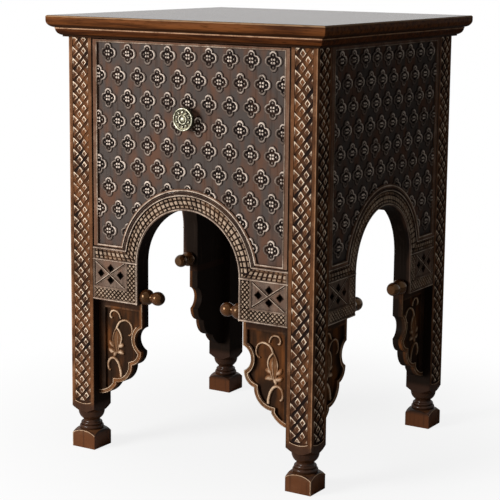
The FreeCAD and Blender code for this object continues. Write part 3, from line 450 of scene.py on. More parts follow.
class Nodes:
    """Adds and links the nodes of one material, group or world."""

    MIX_INPUTS, MIX_OUTPUT = (0, 6, 7), 2  # share, two colours and result of a mix of colours

    def __init__(self, tree: bpy.types.NodeTree) -> None:
        """Starts from an empty tree."""
        self.tree = tree
        tree.nodes.clear()

    def feed(self, socket: Socket, value: Input) -> None:
        """Links an output to a socket, or sets its value.

        Args:
            socket: the socket.
            value: the output or the value.
        """
        if isinstance(value, Socket):
            self.tree.links.new(value, socket)
        else:
            socket.default_value = value

    def add(self, kind: str, inputs: Optional[dict[str, Input]] = None,
            **settings: Union[str, bool, bpy.types.NodeTree]) -> bpy.types.Node:
        """Adds a node.

        Args:
            kind: Blender's name of the node, without its ShaderNode.
            inputs: values or outputs by the names of the sockets that take them.
            settings: the node's own settings.

        Returns:
            The node.
        """
        node = self.tree.nodes.new(kind if kind.startswith("NodeGroup") else "ShaderNode" + kind)
        for key, value in settings.items():
            setattr(node, key, value)
        for key, value in (inputs or {}).items():
            self.feed(node.inputs[key], value)
        return node

    def mix(self, share: Input, first: Input, second: Input) -> Socket:
        """Blends two colours.

        Args:
            share: share of the second colour.
            first: first colour.
            second: second colour.

        Returns:
            The blended colour.
        """
        node = self.add("Mix", data_type="RGBA")
        for index, value in zip(self.MIX_INPUTS, (share, first, second)):
            whole = isinstance(value, tuple) and len(value) == 3
            self.feed(node.inputs[index], (*value, 1.0) if whole else value)
        return node.outputs[self.MIX_OUTPUT]

    def math(self, operation: str, first: Input, second: Input = 0.0) -> Socket:
        """Result of a sum.

        Args:
            operation: Blender's name of the sum.
            first: first value.
            second: second value, where the sum has one.

        Returns:
            The result.
        """
        node = self.add("Math", operation=operation)
        self.feed(node.inputs[0], first)
        self.feed(node.inputs[1], second)
        return node.outputs[0]

    def ramp(self, value: Input, low: Input, high: Input, start: float = 0.0,
             end: float = 1.0) -> Socket:
        """Soft step of a value.

        Args:
            value: the value.
            low: where the step begins.
            high: where the step ends.
            start: result below the step.
            end: result above the step.

        Returns:
            The result.
        """
        node = self.add("MapRange", {"Value": value, "From Min": low, "From Max": high,
                                     "To Min": start, "To Max": end},
                        interpolation_type="SMOOTHSTEP")
        return node.outputs["Result"]

    def blend(self, share: Input, first: bpy.types.Node, second: bpy.types.Node) -> Socket:
        """Blends two shaders.

        Args:
            share: share of the second shader.
            first: node of the first shader.
            second: node of the second shader.

        Returns:
            The blended shader.
        """
        node = self.add("MixShader", {"Fac": share})
        self.feed(node.inputs[1], first.outputs[0])
        self.feed(node.inputs[2], second.outputs[0])
        return node.outputs[0]

    def noise(self, place: Input, scale: float, detail: float) -> Socket:
        """Cloudy noise of a scale in cycles per unit of the place."""
        node = self.add("TexNoise", {"Vector": place, "Scale": scale, "Detail": detail})
        return node.outputs[0]


class Effects:
    """The shader effects that several finishes share, each built once."""

    # Scale in cycles per metre and detail of each noise.
    FIGURE, PORES = (38.0, 3.0), (240.0, 2.0)
    STREAKS, CLOUDS, PATCHES, FLECKS = (60.0, 2.0), (15.0, 3.0), (55.0, 2.0), (420.0, 2.0)
    # Where each soft step begins and ends.
    FIGURE_STEP, PORE_STEP, CLOUD_STEP = (0.36, 0.66), (0.54, 0.7), (0.88, 1.24)
    RUBBED_STEP, HOLLOW_STEP = (0.55, 1.1), (0.08, 0.5)
    STREAK_RUN = (1.0, 1.0, 0.25)  # stretch of the streaks, which run upright
    PATCH_SHARE, FLECK_SHARE, HOLLOW_FLECKS = 0.75, 0.35, 0.2  # unevenness of the rubbing
    ARRIS = 2.5  # width of a worn corner, in millimetres
    UNDER = 0.4  # how far below a carved ground the plain wood begins
    BLUR = 1.6  # width of the soft edge round the core

    def __init__(self) -> None:
        """Builds the groups."""
        self.grain = self._grain()
        self.rubbing = self._rubbing()
        self.depth = self._depth()

    @staticmethod
    def _group(name: str, inputs: Sequence[str], outputs: Sequence[str]) -> tuple[Nodes, dict, dict]:
        """Starts a group with its sockets.

        Args:
            name: name of the group.
            inputs: names of its inputs; the one called Place is a vector.
            outputs: names of its outputs, all values.

        Returns:
            Its nodes, its inputs by name, and the sockets that its outputs take.
        """
        tree = bpy.data.node_groups.new(name, "ShaderNodeTree")
        for key in inputs:
            kind = "NodeSocketVector" if key == "Place" else "NodeSocketFloat"
            tree.interface.new_socket(key, in_out="INPUT", socket_type=kind)
        for key in outputs:
            tree.interface.new_socket(key, in_out="OUTPUT", socket_type="NodeSocketFloat")
        nodes = Nodes(tree)
        given, wanted = nodes.add("NodeGroupInput"), nodes.add("NodeGroupOutput")
        return nodes, dict(given.outputs.items()), dict(wanted.inputs.items())

    def _grain(self) -> bpy.types.NodeTree:
        """Figure and pores of wood, on a place already stretched along the grain.

        Returns:
            The group.
        """
        nodes, given, wanted = self._group("Wood grain", ["Place"], ["Figure", "Pores"])
        broad = nodes.noise(given["Place"], *self.FIGURE)
        fine = nodes.noise(given["Place"], *self.PORES)
        nodes.feed(wanted["Figure"], nodes.ramp(broad, *self.FIGURE_STEP))
        nodes.feed(wanted["Pores"], nodes.ramp(fine, *self.PORE_STEP))
        return nodes.tree

    def _rubbing(self) -> bpy.types.NodeTree:
        """Stain rubbed off the crests and left in the hollows, both a little uneven; on the flowers the
        dark hollows are painted shadow.

        Returns:
            The group.
        """
        nodes, given, wanted = self._group(
            "Rubbed relief", ["Place", "Crest", "Wear"], ["Rubbed", "Hollow", "Cloud"])
        upright = nodes.add("Mapping", {"Vector": given["Place"], "Scale": self.STREAK_RUN})
        streaks = nodes.noise(upright.outputs["Vector"], *self.STREAKS)
        clouds = nodes.math("ADD", nodes.noise(given["Place"], *self.CLOUDS), streaks)
        nodes.feed(wanted["Cloud"], nodes.ramp(clouds, *self.CLOUD_STEP))
        patches, flecks = (nodes.math("SUBTRACT", nodes.noise(given["Place"], *size), 0.5)
                           for size in (self.PATCHES, self.FLECKS))
        uneven = nodes.math("ADD", nodes.math("MULTIPLY", patches, self.PATCH_SHARE),
                            nodes.math("MULTIPLY", flecks, self.FLECK_SHARE))
        level = nodes.math("ADD", given["Crest"], uneven)
        strong = nodes.math("MULTIPLY", nodes.ramp(level, *self.RUBBED_STEP), given["Wear"])
        nodes.feed(wanted["Rubbed"], strong)
        low = nodes.math("ADD", given["Crest"], nodes.math("MULTIPLY", flecks, self.HOLLOW_FLECKS))
        nodes.feed(wanted["Hollow"], nodes.ramp(low, *self.HOLLOW_STEP, 1.0, 0.0))
        return nodes.tree

    def _depth(self) -> bpy.types.NodeTree:
        """How far a spot lies out from the middle of the table, between depths in metres, with masks for
        painted shade.

        Returns:
            The group.
        """
        nodes, given, wanted = self._group(
            "Depth of carving", ["Place", "Low", "High", "Behind", "Inner", "Outer", "Core"],
            ["Crest", "Arris", "Plain", "Inside", "Within"])
        parts = nodes.add("SeparateXYZ", {"Vector": given["Place"]})
        wide = nodes.math("ABSOLUTE", parts.outputs["X"])
        deep = nodes.math("ABSOLUTE", parts.outputs["Y"])
        outer = nodes.math("MAXIMUM", wide, deep)
        inner = nodes.math("MINIMUM", wide, deep)
        nodes.feed(wanted["Crest"], nodes.ramp(outer, given["Low"], given["High"]))
        corner = nodes.math("SUBTRACT", given["High"], self.ARRIS * MM)
        nodes.feed(wanted["Arris"], nodes.ramp(inner, corner, given["High"]))
        ground = nodes.math("SUBTRACT", given["Low"], self.UNDER * MM)
        nodes.feed(wanted["Plain"], nodes.ramp(outer, given["Behind"], ground, 1.0, 0.0))
        # The deep mask: 1 nearer the middle than Inner, 0 past Outer; the finishes paint shade with it on
        # soffits, reveals and far faces.
        nodes.feed(wanted["Inside"], nodes.ramp(outer, given["Inner"], given["Outer"], 1.0, 0.0))
        # Within: 1 where a spot's lesser distance from the middle is under Core, 0 past its soft edge; on
        # the posts it paints shade on their inner faces, and on the brackets its complement paints a
        # post's shadow.
        edge = nodes.math("ADD", given["Core"], self.BLUR * MM)
        nodes.feed(wanted["Within"], nodes.ramp(inner, given["Core"], edge, 1.0, 0.0))
        return nodes.tree


@dataclass(frozen=True)
class WoodFinish:
    """A stained wood: colours of its body, darker figure, rubbed crests and hollows, and painted shade on
    its far faces and beside the posts.
    """

    name: str
    body: Colour
    figure: Colour
    rubbed: Colour = BLACK
    hollow: Colour = BLACK
    height: Height = Height.CREST
    depth: tuple[float, float, float] = (0.0, 0.0, 1.0)
    # levels in millimetres under which the wood turns near black: painted shade on far faces, soffits and
    # reveals
    inside: Point = (172.0, 188.0)
    # level of the posts' inner faces, which are darkened to near black as painted shade
    core: Optional[float] = None
    # level past which a bracket is darkened beside its post: the painted shadow of the post
    border: Optional[float] = None
    warm: Colour = (0.16, 0.075, 0.04)
    warmth: float = 0.35
    grain: Grain = Grain.UPRIGHT
    fineness: float = 1.0
    wear: float = 0.85
    roughness: float = 0.5
    shine: float = 0.012
    tint: Colour = (1.0, 1.0, 1.0)
    pores: float = 0.35
    polish: Optional[Point] = None
    polish_weight: float = 0.1
    bands: tuple[tuple[float, float, float, Colour], ...] = ()

    # near-black colour of all painted shade on this wood
    INNER = (0.011, 0.007, 0.005)
    FADE = 10.0
    BAND_STRENGTH = 0.8  # strength of the colour in the bands: wood tones, painted shade and a rubbed line that is partly painted highlight
    PORE_TONE = 0.4  # tone of the pores beside the figure
    PORE_ROUGH, HOLLOW_ROUGH, COAT_ROUGH = 0.2, 0.25, 0.2
    FACE_WEAR, ARRIS_WEAR, PLAIN_WEAR = 0.62, 0.4, 0.5  # crest on faces, corners and plain wood
    BORDER = 0.75  # darkness of the post's shadow painted on a bracket beside it
    BUMP, BUMP_HIGH = 0.5, 0.25  # strength and height in millimetres of the pores
    FOOT_FADE = 0.3  # how softly a mask begins at its foot, in millimetres

    def material(self, effects: Effects) -> bpy.types.Material:
        """Makes the finish.

        Args:
            effects: the shared shader effects.

        Returns:
            The material.
        """
        made = bpy.data.materials.new(self.name)
        made.use_nodes = True
        made.diffuse_color = (*self.body, 1.0)
        nodes = Nodes(made.node_tree)
        shader = nodes.add("BsdfPrincipled", {"Specular IOR Level": self.shine,
                                              "Specular Tint": (*self.tint, 1.0)})
        nodes.add("OutputMaterial", {"Surface": shader.outputs[0]})
        place = nodes.add("TexCoord").outputs["Object"]
        scale = [self.fineness * part for part in self.grain.value]
        along = nodes.add("Mapping", {"Vector": place, "Scale": scale})
        grain = nodes.add("Group", node_tree=effects.grain)
        nodes.feed(grain.inputs["Place"], along.outputs["Vector"])
        figure, pores = grain.outputs["Figure"], grain.outputs["Pores"]
        colour = nodes.mix(figure, self.body, self.figure)
        rough = nodes.ramp(pores, 0.0, 1.0, self.roughness, self.roughness + self.PORE_ROUGH)
        if self.height is not Height.FLAT:
            rubbed, hollow, cloud, *inside = self._relief(nodes, effects, place)
            colour = nodes.mix(hollow, colour, self.hollow)
            share = nodes.math("MULTIPLY", cloud, self.warmth)
            colour = nodes.mix(share, colour, self.warm)
            colour = nodes.mix(rubbed, colour, self.rubbed)
            # painted shade: the wood darkens to near black under each shade mask
            for mask in inside:
                colour = nodes.mix(mask, colour, self.INNER)
            most = self.roughness + self.HOLLOW_ROUGH
            rough = nodes.ramp(hollow, 0.0, 1.0, self.roughness, most)
        # bands: the foot blocks' redder tone, the feet's darker turnings, the top face's tone, painted
        # shade under the top's edge, the moulding and the impost blocks, and a rubbed line on the top's
        # edge that is partly painted highlight
        for *levels, band_colour in self.bands:
            share = nodes.math("MULTIPLY", self._between(nodes, place, levels), self.BAND_STRENGTH)
            colour = nodes.mix(share, colour, band_colour)
        shade = nodes.math("MULTIPLY", pores, self.pores)
        dark = tuple(part * self.PORE_TONE for part in self.figure)
        nodes.feed(shader.inputs["Base Color"], nodes.mix(shade, colour, dark))
        nodes.feed(shader.inputs["Roughness"], rough)
        if self.polish:
            shader.inputs["Coat Roughness"].default_value = self.COAT_ROUGH
            share = self._between(nodes, place, (*self.polish, self.FADE))
            nodes.feed(shader.inputs["Coat Weight"], nodes.math("MULTIPLY", share, self.polish_weight))
        bump = nodes.add("Bump", {"Height": pores, "Strength": self.BUMP,
                                  "Distance": self.BUMP_HIGH * MM}, invert=True)
        nodes.feed(shader.inputs["Normal"], bump.outputs["Normal"])
        return made

    def _between(self, nodes: Nodes, place: Socket, levels: Sequence[float]) -> Socket:
        """Adds a mask of the wood between two levels, which ends softly at its head.

        Args:
            nodes: nodes of the material.
            place: object coordinates.
            levels: foot, head and fading of the mask in millimetres.

        Returns:
            The mask.
        """
        level = nodes.add("SeparateXYZ", {"Vector": place}).outputs["Z"]
        foot, head, fade = levels
        rise = nodes.ramp(level, (foot - self.FOOT_FADE) * MM, foot * MM)
        fall = nodes.ramp(level, head * MM, (head + fade) * MM, 1.0, 0.0)
        return nodes.math("MULTIPLY", rise, fall)

    def _relief(self, nodes: Nodes, effects: Effects, place: Socket) -> list[Socket]:
        """Adds the rubbed crests, the hollows, the warm clouds and the masks of painted shade.

        Args:
            nodes: nodes of the material.
            effects: the shared shader effects.
            place: object coordinates.

        Returns:
            Masks of the rubbed crests, the hollows and the clouds, then masks of painted shade on the far
            faces, and on the posts' inner faces and where a post shades a bracket when the finish gives
            them.
        """
        rubbing = nodes.add("Group", node_tree=effects.rubbing)
        nodes.feed(rubbing.inputs["Place"], place)
        rubbing.inputs["Wear"].default_value = self.wear
        if self.height is Height.CREST:
            crest = nodes.add("Attribute", attribute_name="crest").outputs["Fac"]
            nodes.feed(rubbing.inputs["Crest"], crest)
            return list(rubbing.outputs)
        depth = nodes.add("Group", node_tree=effects.depth)
        nodes.feed(depth.inputs["Place"], place)
        levels = (*self.depth, *self.inside, self.core or self.border or 0.0)
        for key, level in zip(("Behind", "Low", "High", "Inner", "Outer", "Core"), levels):
            depth.inputs[key].default_value = level * MM
        worn = nodes.math("ADD", nodes.math("MULTIPLY", depth.outputs["Crest"], self.FACE_WEAR),
                          nodes.math("MULTIPLY", depth.outputs["Arris"], self.ARRIS_WEAR))
        plain = nodes.math("MULTIPLY", depth.outputs["Plain"], self.PLAIN_WEAR)
        nodes.feed(rubbing.inputs["Crest"], nodes.math("MAXIMUM", worn, plain))
        masks = [*rubbing.outputs, depth.outputs["Inside"]]
        # painted shade on the inner faces of the posts
        if self.core:
            masks.append(depth.outputs["Within"])
        # painted shadow of the post on the bracket beside it
        if self.border:
            masks.append(nodes.ramp(depth.outputs["Within"], 0.0, 1.0, self.BORDER, 0.0))
        return masks


@dataclass(frozen=True)
class MetalFinish:
    """A metal with bright and tarnished patches."""

    name: str
    bright: Colour
    tarnished: Colour
    roughness: float
    cloud: float
    patina: Optional[Colour] = None

    CLOUD_DETAIL, FINE_SCALE, FINE_DETAIL = 4.0, 6, 2.0
    CLOUD_STEP, PATINA_STEP = (0.35, 0.7), (0.15, 0.75)
    CLOUD_ROUGH = 0.25  # how much rougher the tarnish is
    BUMP, BUMP_HIGH = 0.3, 0.1  # strength and height in millimetres of the fine unevenness

    def material(self, effects: Effects) -> bpy.types.Material:
        """Makes the finish.

        Args:
            effects: the shared shader effects.

        Returns:
            The material.
        """
        made = bpy.data.materials.new(self.name)
        made.use_nodes = True
        made.diffuse_color = (*self.bright, 1.0)
        nodes = Nodes(made.node_tree)
        shader = nodes.add("BsdfPrincipled", {"Metallic": 1.0})
        nodes.add("OutputMaterial", {"Surface": shader.outputs[0]})
        place = nodes.add("TexCoord").outputs["Object"]
        cloud = nodes.ramp(nodes.noise(place, self.cloud, self.CLOUD_DETAIL), *self.CLOUD_STEP)
        colour = nodes.mix(cloud, self.bright, self.tarnished)
        if self.patina:
            crest = nodes.add("Attribute", attribute_name="crest").outputs["Fac"]
            colour = nodes.mix(nodes.ramp(crest, *self.PATINA_STEP), self.patina, colour)
        nodes.feed(shader.inputs["Base Color"], colour)
        most = self.roughness + self.CLOUD_ROUGH
        nodes.feed(shader.inputs["Roughness"], nodes.ramp(cloud, 0.0, 1.0, self.roughness, most))
        fine = nodes.noise(place, self.cloud * self.FINE_SCALE, self.FINE_DETAIL)
        bump = nodes.add("Bump", {"Height": fine, "Strength": self.BUMP,
                                  "Distance": self.BUMP_HIGH * MM})
        nodes.feed(shader.inputs["Normal"], bump.outputs["Normal"])
        return made


@dataclass
class Layout:
    """Faces and levels of the joined table in millimetres, read from the frame."""

    body: float
    inner: float
    panel: float
    bracket: float
    frame_low: float
    frame_top: float
    cornice: float
    moulding: float
    moulding_top: float
    top: float
    knob_face: float
    knob_level: float
    knob_radius: float

    @classmethod
    def read(cls) -> "Layout":
        """Reads the boxes of the nodes."""
        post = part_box("post_front_left")
        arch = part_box("arch_frame_front")
        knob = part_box("drawer_knob")
        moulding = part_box("cornice_front")
        return cls(
            body=-post[0].x / MM,
            inner=-post[1].x / MM,
            panel=-arch[0].y / MM,
            bracket=-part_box("bracket_front_left")[0].y / MM,
            frame_low=arch[0].z / MM,
            frame_top=arch[1].z / MM,
            cornice=moulding[0].z / MM,
            moulding=-moulding[0].y / MM,
            moulding_top=moulding[1].z / MM,
            top=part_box("top_board")[1].z / MM,
            knob_face=-knob[0].y / MM,
            knob_level=(knob[0].z + knob[1].z) / 2 / MM,
            knob_radius=(knob[1].x - knob[0].x) / 2 / MM,
        )


@dataclass
class Finishes:
    """Every finish of the table, made as materials by name."""

    effects: Effects
    layout: Layout

    def __post_init__(self) -> None:
        """Makes the materials."""
        face, post, bracket = self.layout.panel, self.layout.body, self.layout.bracket
        low, joint, top = self.layout.frame_low, self.layout.moulding_top, self.layout.top
        cornice, inner = self.layout.cornice, self.layout.inner
        wood = [
            WoodFinish("field_wood", (0.14, 0.074, 0.046), (0.09, 0.048, 0.03), (0.3, 0.2, 0.14),
                       (0.064, 0.052, 0.046), Height.DEPTH, (face - 5.0, face - 2.8, face - 0.1),
                       warm=(0.118, 0.053, 0.03), warmth=0.68),
            # flower_wood: its near-black hollow colour paints shadow on the flower floors and round each
            # flower
            WoodFinish("flower_wood", (0.13, 0.1, 0.082), (0.095, 0.072, 0.059),
                       (0.73, 0.605, 0.508), (0.014, 0.01, 0.009), warmth=0.15, wear=0.95),
            WoodFinish("frame_wood", (0.122, 0.084, 0.064), (0.08, 0.054, 0.041),
                       (0.3, 0.215, 0.157), BLACK, Height.DEPTH,
                       (face - 12.0, face - 2.4, face - 1.1), (face - 8.0, face - 2.9),
                       warm=(0.17, 0.08, 0.045), warmth=0.45),
            WoodFinish("block_wood", (0.09, 0.05, 0.03), (0.05, 0.028, 0.017),
                       (0.4, 0.295, 0.212), warm=(0.27, 0.14, 0.065), warmth=0.5, wear=0.92),
            WoodFinish("bead_wood", (0.12, 0.072, 0.046), (0.08, 0.048, 0.03),
                       (0.6, 0.475, 0.375), (0.02, 0.012, 0.009), warmth=0.15, wear=0.9),
            # post_wood: core paints shade on the inner faces of the posts
            WoodFinish("post_wood", (0.09, 0.038, 0.017), (0.055, 0.022, 0.01),
                       (0.31, 0.16, 0.083), BLACK, Height.DEPTH,
                       (post - 3.0, post - 1.4, post - 0.1), core=inner,
                       warm=(0.16, 0.062, 0.023), warmth=0.5, polish=(-1.0, 62.0),
                       polish_weight=0.25,
                       bands=((-1.0, 17.0, 10.0, (0.1, 0.032, 0.01)),
                              (27.5, 63.0, 10.0, (0.03, 0.012, 0.006)))),
            WoodFinish("lattice_wood", (0.12, 0.053, 0.026), (0.07, 0.03, 0.015),
                       (0.84, 0.67, 0.5), warm=(0.23, 0.09, 0.034), warmth=0.5, wear=1.0),
            # bracket_wood: its second pair of levels paints shade on the far part of its edge, and border
            # paints the post's shadow beside the post
            WoodFinish("bracket_wood", (0.036, 0.018, 0.01), (0.018, 0.009, 0.006),
                       (0.25, 0.15, 0.09), (0.023, 0.012, 0.007), Height.DEPTH,
                       (bracket - 6.0, bracket - 3.8, bracket - 0.1),
                       (bracket - 5.4, bracket - 4.2), border=inner - 11.5,
                       warm=(0.2, 0.066, 0.017), warmth=0.5, wear=0.5,
                       # painted shadow of the impost block across the head of the bracket
                       bands=((low - 10.0, low + 1.0, 1.0, (0.022, 0.011, 0.007)),)),
            WoodFinish("vine_wood", (0.15, 0.07, 0.031), (0.1, 0.045, 0.02), (0.62, 0.45, 0.305),
                       (0.025, 0.012, 0.007), warm=(0.26, 0.09, 0.026), warmth=0.5, wear=0.95),
            WoodFinish("turned_wood", (0.055, 0.019, 0.006), (0.022, 0.008, 0.003),
                       height=Height.FLAT, roughness=0.18, shine=0.42, tint=(1.0, 0.6, 0.3)),
            WoodFinish("top_wood", (0.128, 0.042, 0.0115), (0.042, 0.013, 0.004),
                       height=Height.FLAT, grain=Grain.ACROSS, fineness=4.0, roughness=0.42,
                       polish=(top - 0.1, top + 1.0), polish_weight=0.66, pores=0.7,
                       # bands: a dark joint line that spreads into painted shade under the top's rounded
                       # edge, a lighter line on its upper edge that is partly rubbed wear and partly
                       # painted highlight, and the darker tone of the top face
                       bands=((joint - 1.0, joint + 3.0, 2.0, (0.01, 0.005, 0.003)),
                              (top - 2.1, top - 0.6, 0.4, (0.32, 0.19, 0.1)),
                              (top - 0.05, top + 1.0, 0.1, (0.05, 0.037, 0.028)))),
            WoodFinish("moulding_wood", (0.078, 0.023, 0.006), (0.026, 0.008, 0.003),
                       height=Height.FLAT, grain=Grain.ACROSS, fineness=4.0, roughness=0.5,
                       pores=0.8,
                       # a dark band along the foot of the moulding: painted shade under its bulge
                       bands=((cornice - 1.0, cornice + 2.5, 2.5, (0.012, 0.006, 0.003)),)),
            WoodFinish("edge_wood", (0.13, 0.048, 0.017), (0.07, 0.024, 0.008),
                       (0.42, 0.25, 0.15), (0.02, 0.009, 0.005), wear=0.9),
            WoodFinish("back_wood", (0.085, 0.043, 0.023), (0.05, 0.025, 0.014),
                       (0.2, 0.12, 0.07), (0.05, 0.026, 0.015), Height.DEPTH,
                       (face - 5.0, face - 2.8, face - 0.1)),
            # inner_wood: near-black brown for the front rail deep in the table, painted shade
            WoodFinish("inner_wood", (0.03, 0.016, 0.01), (0.018, 0.01, 0.006),
                       height=Height.FLAT),
            WoodFinish("plain_wood", (0.3, 0.2, 0.12), (0.22, 0.14, 0.08), height=Height.FLAT,
                       grain=Grain.DEEP, roughness=0.6),
        ]
        metal = [
            MetalFinish("aged_brass", (0.62, 0.6, 0.465), (0.17, 0.155, 0.105), 0.36, 260.0,
                        (0.06, 0.055, 0.036)),
            MetalFinish("screw_steel", (0.55, 0.54, 0.52), (0.35, 0.34, 0.33), 0.35, 300.0),
        ]
        self.made = {f.name: f.material(self.effects) for f in wood + metal}

    def __getitem__(self, name: str) -> bpy.types.Material:
        """The material of that name."""
        return self.made[name]

    def dress_solids(self) -> None:
        """Gives every solid of the frame its finish."""
        starts = {
            "top_board": "top_wood", "cornice": "moulding_wood", "post_dowels": "plain_wood",
            "post": "post_wood", "arch_frame": "frame_wood", "side_panel": "field_wood",
            "drawer_front": "field_wood", "bracket": "bracket_wood", "finial": "turned_wood",
            "back_panel": "back_wood", "front_rail": "inner_wood",
            "drawer_knob": "aged_brass", "knob_screw": "screw_steel",
            "top_screws": "screw_steel", "drawer": "plain_wood",
        }
        for node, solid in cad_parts.items():
            finish = next(name for start, name in starts.items() if node.startswith(start))
            solid.data.materials.clear()
            solid.data.materials.append(self[finish])
            LOG.info("%s: %s", node, finish)


@dataclass
class SideWork:
    """Carved work on one side of the table."""

    side: Side
    layout: Layout
    finishes: Finishes

    @property
    def label(self) -> str:
        """End of the names of its pieces."""
        return self.side.label

    def _set(self, relief: Relief, kind: str, depth: float, finish: str, crest: Point,
             sharp: float, body: Body = Body.CARCASS, slot: Slot = Slot.CARVED) -> None:
        """Makes a carving a piece of this side.

        Args:
            relief: the carving.
            kind: beginning of its name.
            depth: distance of its ground from the middle of the table.
            finish: name of its finish.
            crest: levels that count as hollow and as crest.
            sharp: angle in degrees above which an edge stays sharp.
            body: body that it rides on.
            slot: material slot of the record.
        """
        relief.finish(f"{kind}_{self.label}", self.side.plane(depth), self.finishes[finish], body,
                      crest, slot, sharp)


@dataclass
class JambWork(SideWork):
    """Carved work beside one jamb of a side's arch."""

    jamb_name: str

    @property
    def label(self) -> str:
        """End of the names of its pieces."""
        return f"{self.side.label}_{self.jamb_name}"


@dataclass
class FlowerField(SideWork):
    """The sunk field of four-lobed flowers over the arch of one side, and its raised lips."""

    body: Body
    half_wide: float = 153.0
    top: float = 594.2
    bottom: float = 308.5
    spring: float = 285.0
    arch_radius: float = 115.0
    ground: float = 3.0
    row_gap: float = 31.4
    column_gap: float = 33.6
    first_row: float = 580.0
    rows: int = 9
    half_columns: int = 5
    reach: float = 16.0  # how near to an edge a flower is cut
    overlap: float = 10.0  # how far past the arch the middle of a cut flower may lie
    notch: Point = (5.55, 6.95)
    side_lobe: float = 7.0
    end_lobe: float = 5.7
    rim_high: float = 2.5
    rim_shares: tuple[float, ...] = (0.93, 0.9, 0.878, 0.894)
    rim_foot: float = 0.15
    floor_high: float = 0.2
    point_high: float = 3.0
    point_radius: float = 2.4
    point_out: Point = (1.9, 2.1)
    lobe_point: tuple[float, float, float] = (0.95, 2.0, 0.8)  # share of the way, radius, share of height
    point_sides: int = 6
    point_taper: float = 0.5
    # rise of the raised parts across and up, which leaves the right and upper rims higher and more
    # rubbed: a painted highlight
    tilt: Point = (0.032, 0.026)
    tilt_from: float = 0.5
    spread: float = 1.06
    # size of the flat ring round each flower's rim; it takes the dark hollow colour and paints a shadow
    # outline round the flower
    shadow_skirt: float = 1.085
    crest: Point = (0.85, 0.1)  # level that counts as hollow, and how far the crest is over the points
    lip_radius: float = 112.6
    # widths of the arch lip at its right and left ends; the wider right end stands higher and is more
    # rubbed, a painted highlight on the right
    lip_widths: Point = (2.6, 2.0)
    lip_high: float = 0.9
    lip_steps: int = 48
    lip_drop: float = 2.0
    # a low bead sunk into the seam beside the lip, dark with the hollow colour: painted shade in the seam
    groove_radius: float = 111.1
    groove_bead: Bead = (1.0, 0.2, -0.7)
    edge_out: float = 0.9
    edge_bead: Bead = (1.8, 0.6, 0.0)
    foot_out: float = 1.2
    foot_bead: Bead = (2.4, 0.8, 0.0)

    def _lobes(self) -> list[tuple[Point, float]]:
        """Places the lobes, from the right one round to the lower one.

        Returns:
            Middle and radius of each lobe.
        """
        wide, high = self.notch
        side = wide + math.sqrt(self.side_lobe ** 2 - high * high)
        end = high + math.sqrt(self.end_lobe ** 2 - wide * wide)
        return [((side, 0.0), self.side_lobe), ((0.0, end), self.end_lobe),
                ((-side, 0.0), self.side_lobe), ((0.0, -end), self.end_lobe)]

    def _flower_outline(self) -> Path:
        """Draws four lobes that meet in notches.

        Returns:
            The outline of a flower.
        """
        path: Path = []
        for quarter, ((x, z), radius) in enumerate(self._lobes()):
            aside = self.notch[0] if quarter % 2 else self.notch[1]
            half = 180 - math.degrees(math.asin(aside / radius))
            path += arc((x, z), radius, 90 * quarter - half, 90 * quarter + half, 5)[:-1]
        return path

    def _flower(self) -> bpy.types.Mesh:
        """Shapes one flower: a raised rim, a sunk floor and small points on it.

        Returns:
            Its mesh, about the middle of the flower.
        """
        shape = bmesh.new()
        # the flat ring round the rim, dark as painted shadow
        ring = [shape.verts.new((x * self.shadow_skirt, z * self.shadow_skirt, -SINK))
                for x, z in self._flower_outline()]
        edges = shape.faces.new(ring).edges[:]
        rises = (SINK + self.rim_foot, self.rim_high - self.rim_foot, 0.0,
                 self.floor_high - self.rim_high)
        for share, rise in zip(self.rim_shares, rises):
            made = bmesh.ops.extrude_edge_only(shape, edges=edges)["geom"]
            verts = [g for g in made if isinstance(g, bmesh.types.BMVert)]
            bmesh.ops.scale(shape, vec=(share, share, 1), verts=verts)
            bmesh.ops.translate(shape, vec=(0, 0, rise), verts=verts)
            fresh = set(verts)
            edges = [g for g in made if isinstance(g, bmesh.types.BMEdge)
                     and g.verts[0] in fresh and g.verts[1] in fresh]
        bmesh.ops.contextual_create(shape, geom=edges)
        across, up = self.point_out
        way, small, low = self.lobe_point
        spots = [(x, z, self.point_radius, 1.0) for x in (-across, across) for z in (-up, up)]
        spots += [(x * way, z * way, small, low) for (x, z), _ in self._lobes()]
        for x, z, radius, share in spots:
            high = self.point_high * share
            place = Matrix.Translation((x, z, high / 2))
            bmesh.ops.create_cone(shape, cap_ends=True, segments=self.point_sides, radius1=radius,
                                  radius2=radius * self.point_taper, depth=high, matrix=place)
        # tilt the raised parts so the right and upper rims read lighter: painted highlight
        for vert in shape.verts:
            if vert.co.z > self.tilt_from:
                vert.co.z += vert.co.xy.dot(Vector(self.tilt))
        bmesh.ops.scale(shape, vec=(self.spread, self.spread, 1), verts=shape.verts)
        mesh = bpy.data.meshes.new("flower")
        shape.to_mesh(mesh)
        shape.free()
        return mesh

    def _cuts(self, x: float, z: float) -> Optional[list[tuple[Vector, Vector]]]:
        """Finds where the edge of the field cuts a flower.

        Args:
            x: middle of the flower across.
            z: its level.

        Returns:
            A spot and the outward way of each cutting plane, or None where it has no place.
        """
        cuts = []
        if abs(x) + self.reach > self.half_wide:
            cuts.append((Vector((math.copysign(self.half_wide, x), 0, 0)),
                         Vector((math.copysign(1, x), 0, 0))))
        if z + self.reach > self.top:
            cuts.append((Vector((0, self.top, 0)), Vector((0, 1, 0))))
        if z - self.reach < self.bottom:
            cuts.append((Vector((0, self.bottom, 0)), Vector((0, -1, 0))))
        spoke = Vector((x, z - self.spring, 0))
        if spoke.length < self.arch_radius - self.overlap:
            return None
        if spoke.length < self.arch_radius + self.reach:
            way = spoke.normalized()
            cuts.append((Vector((0, self.spring, 0)) + way * self.arch_radius, -way))
        return cuts

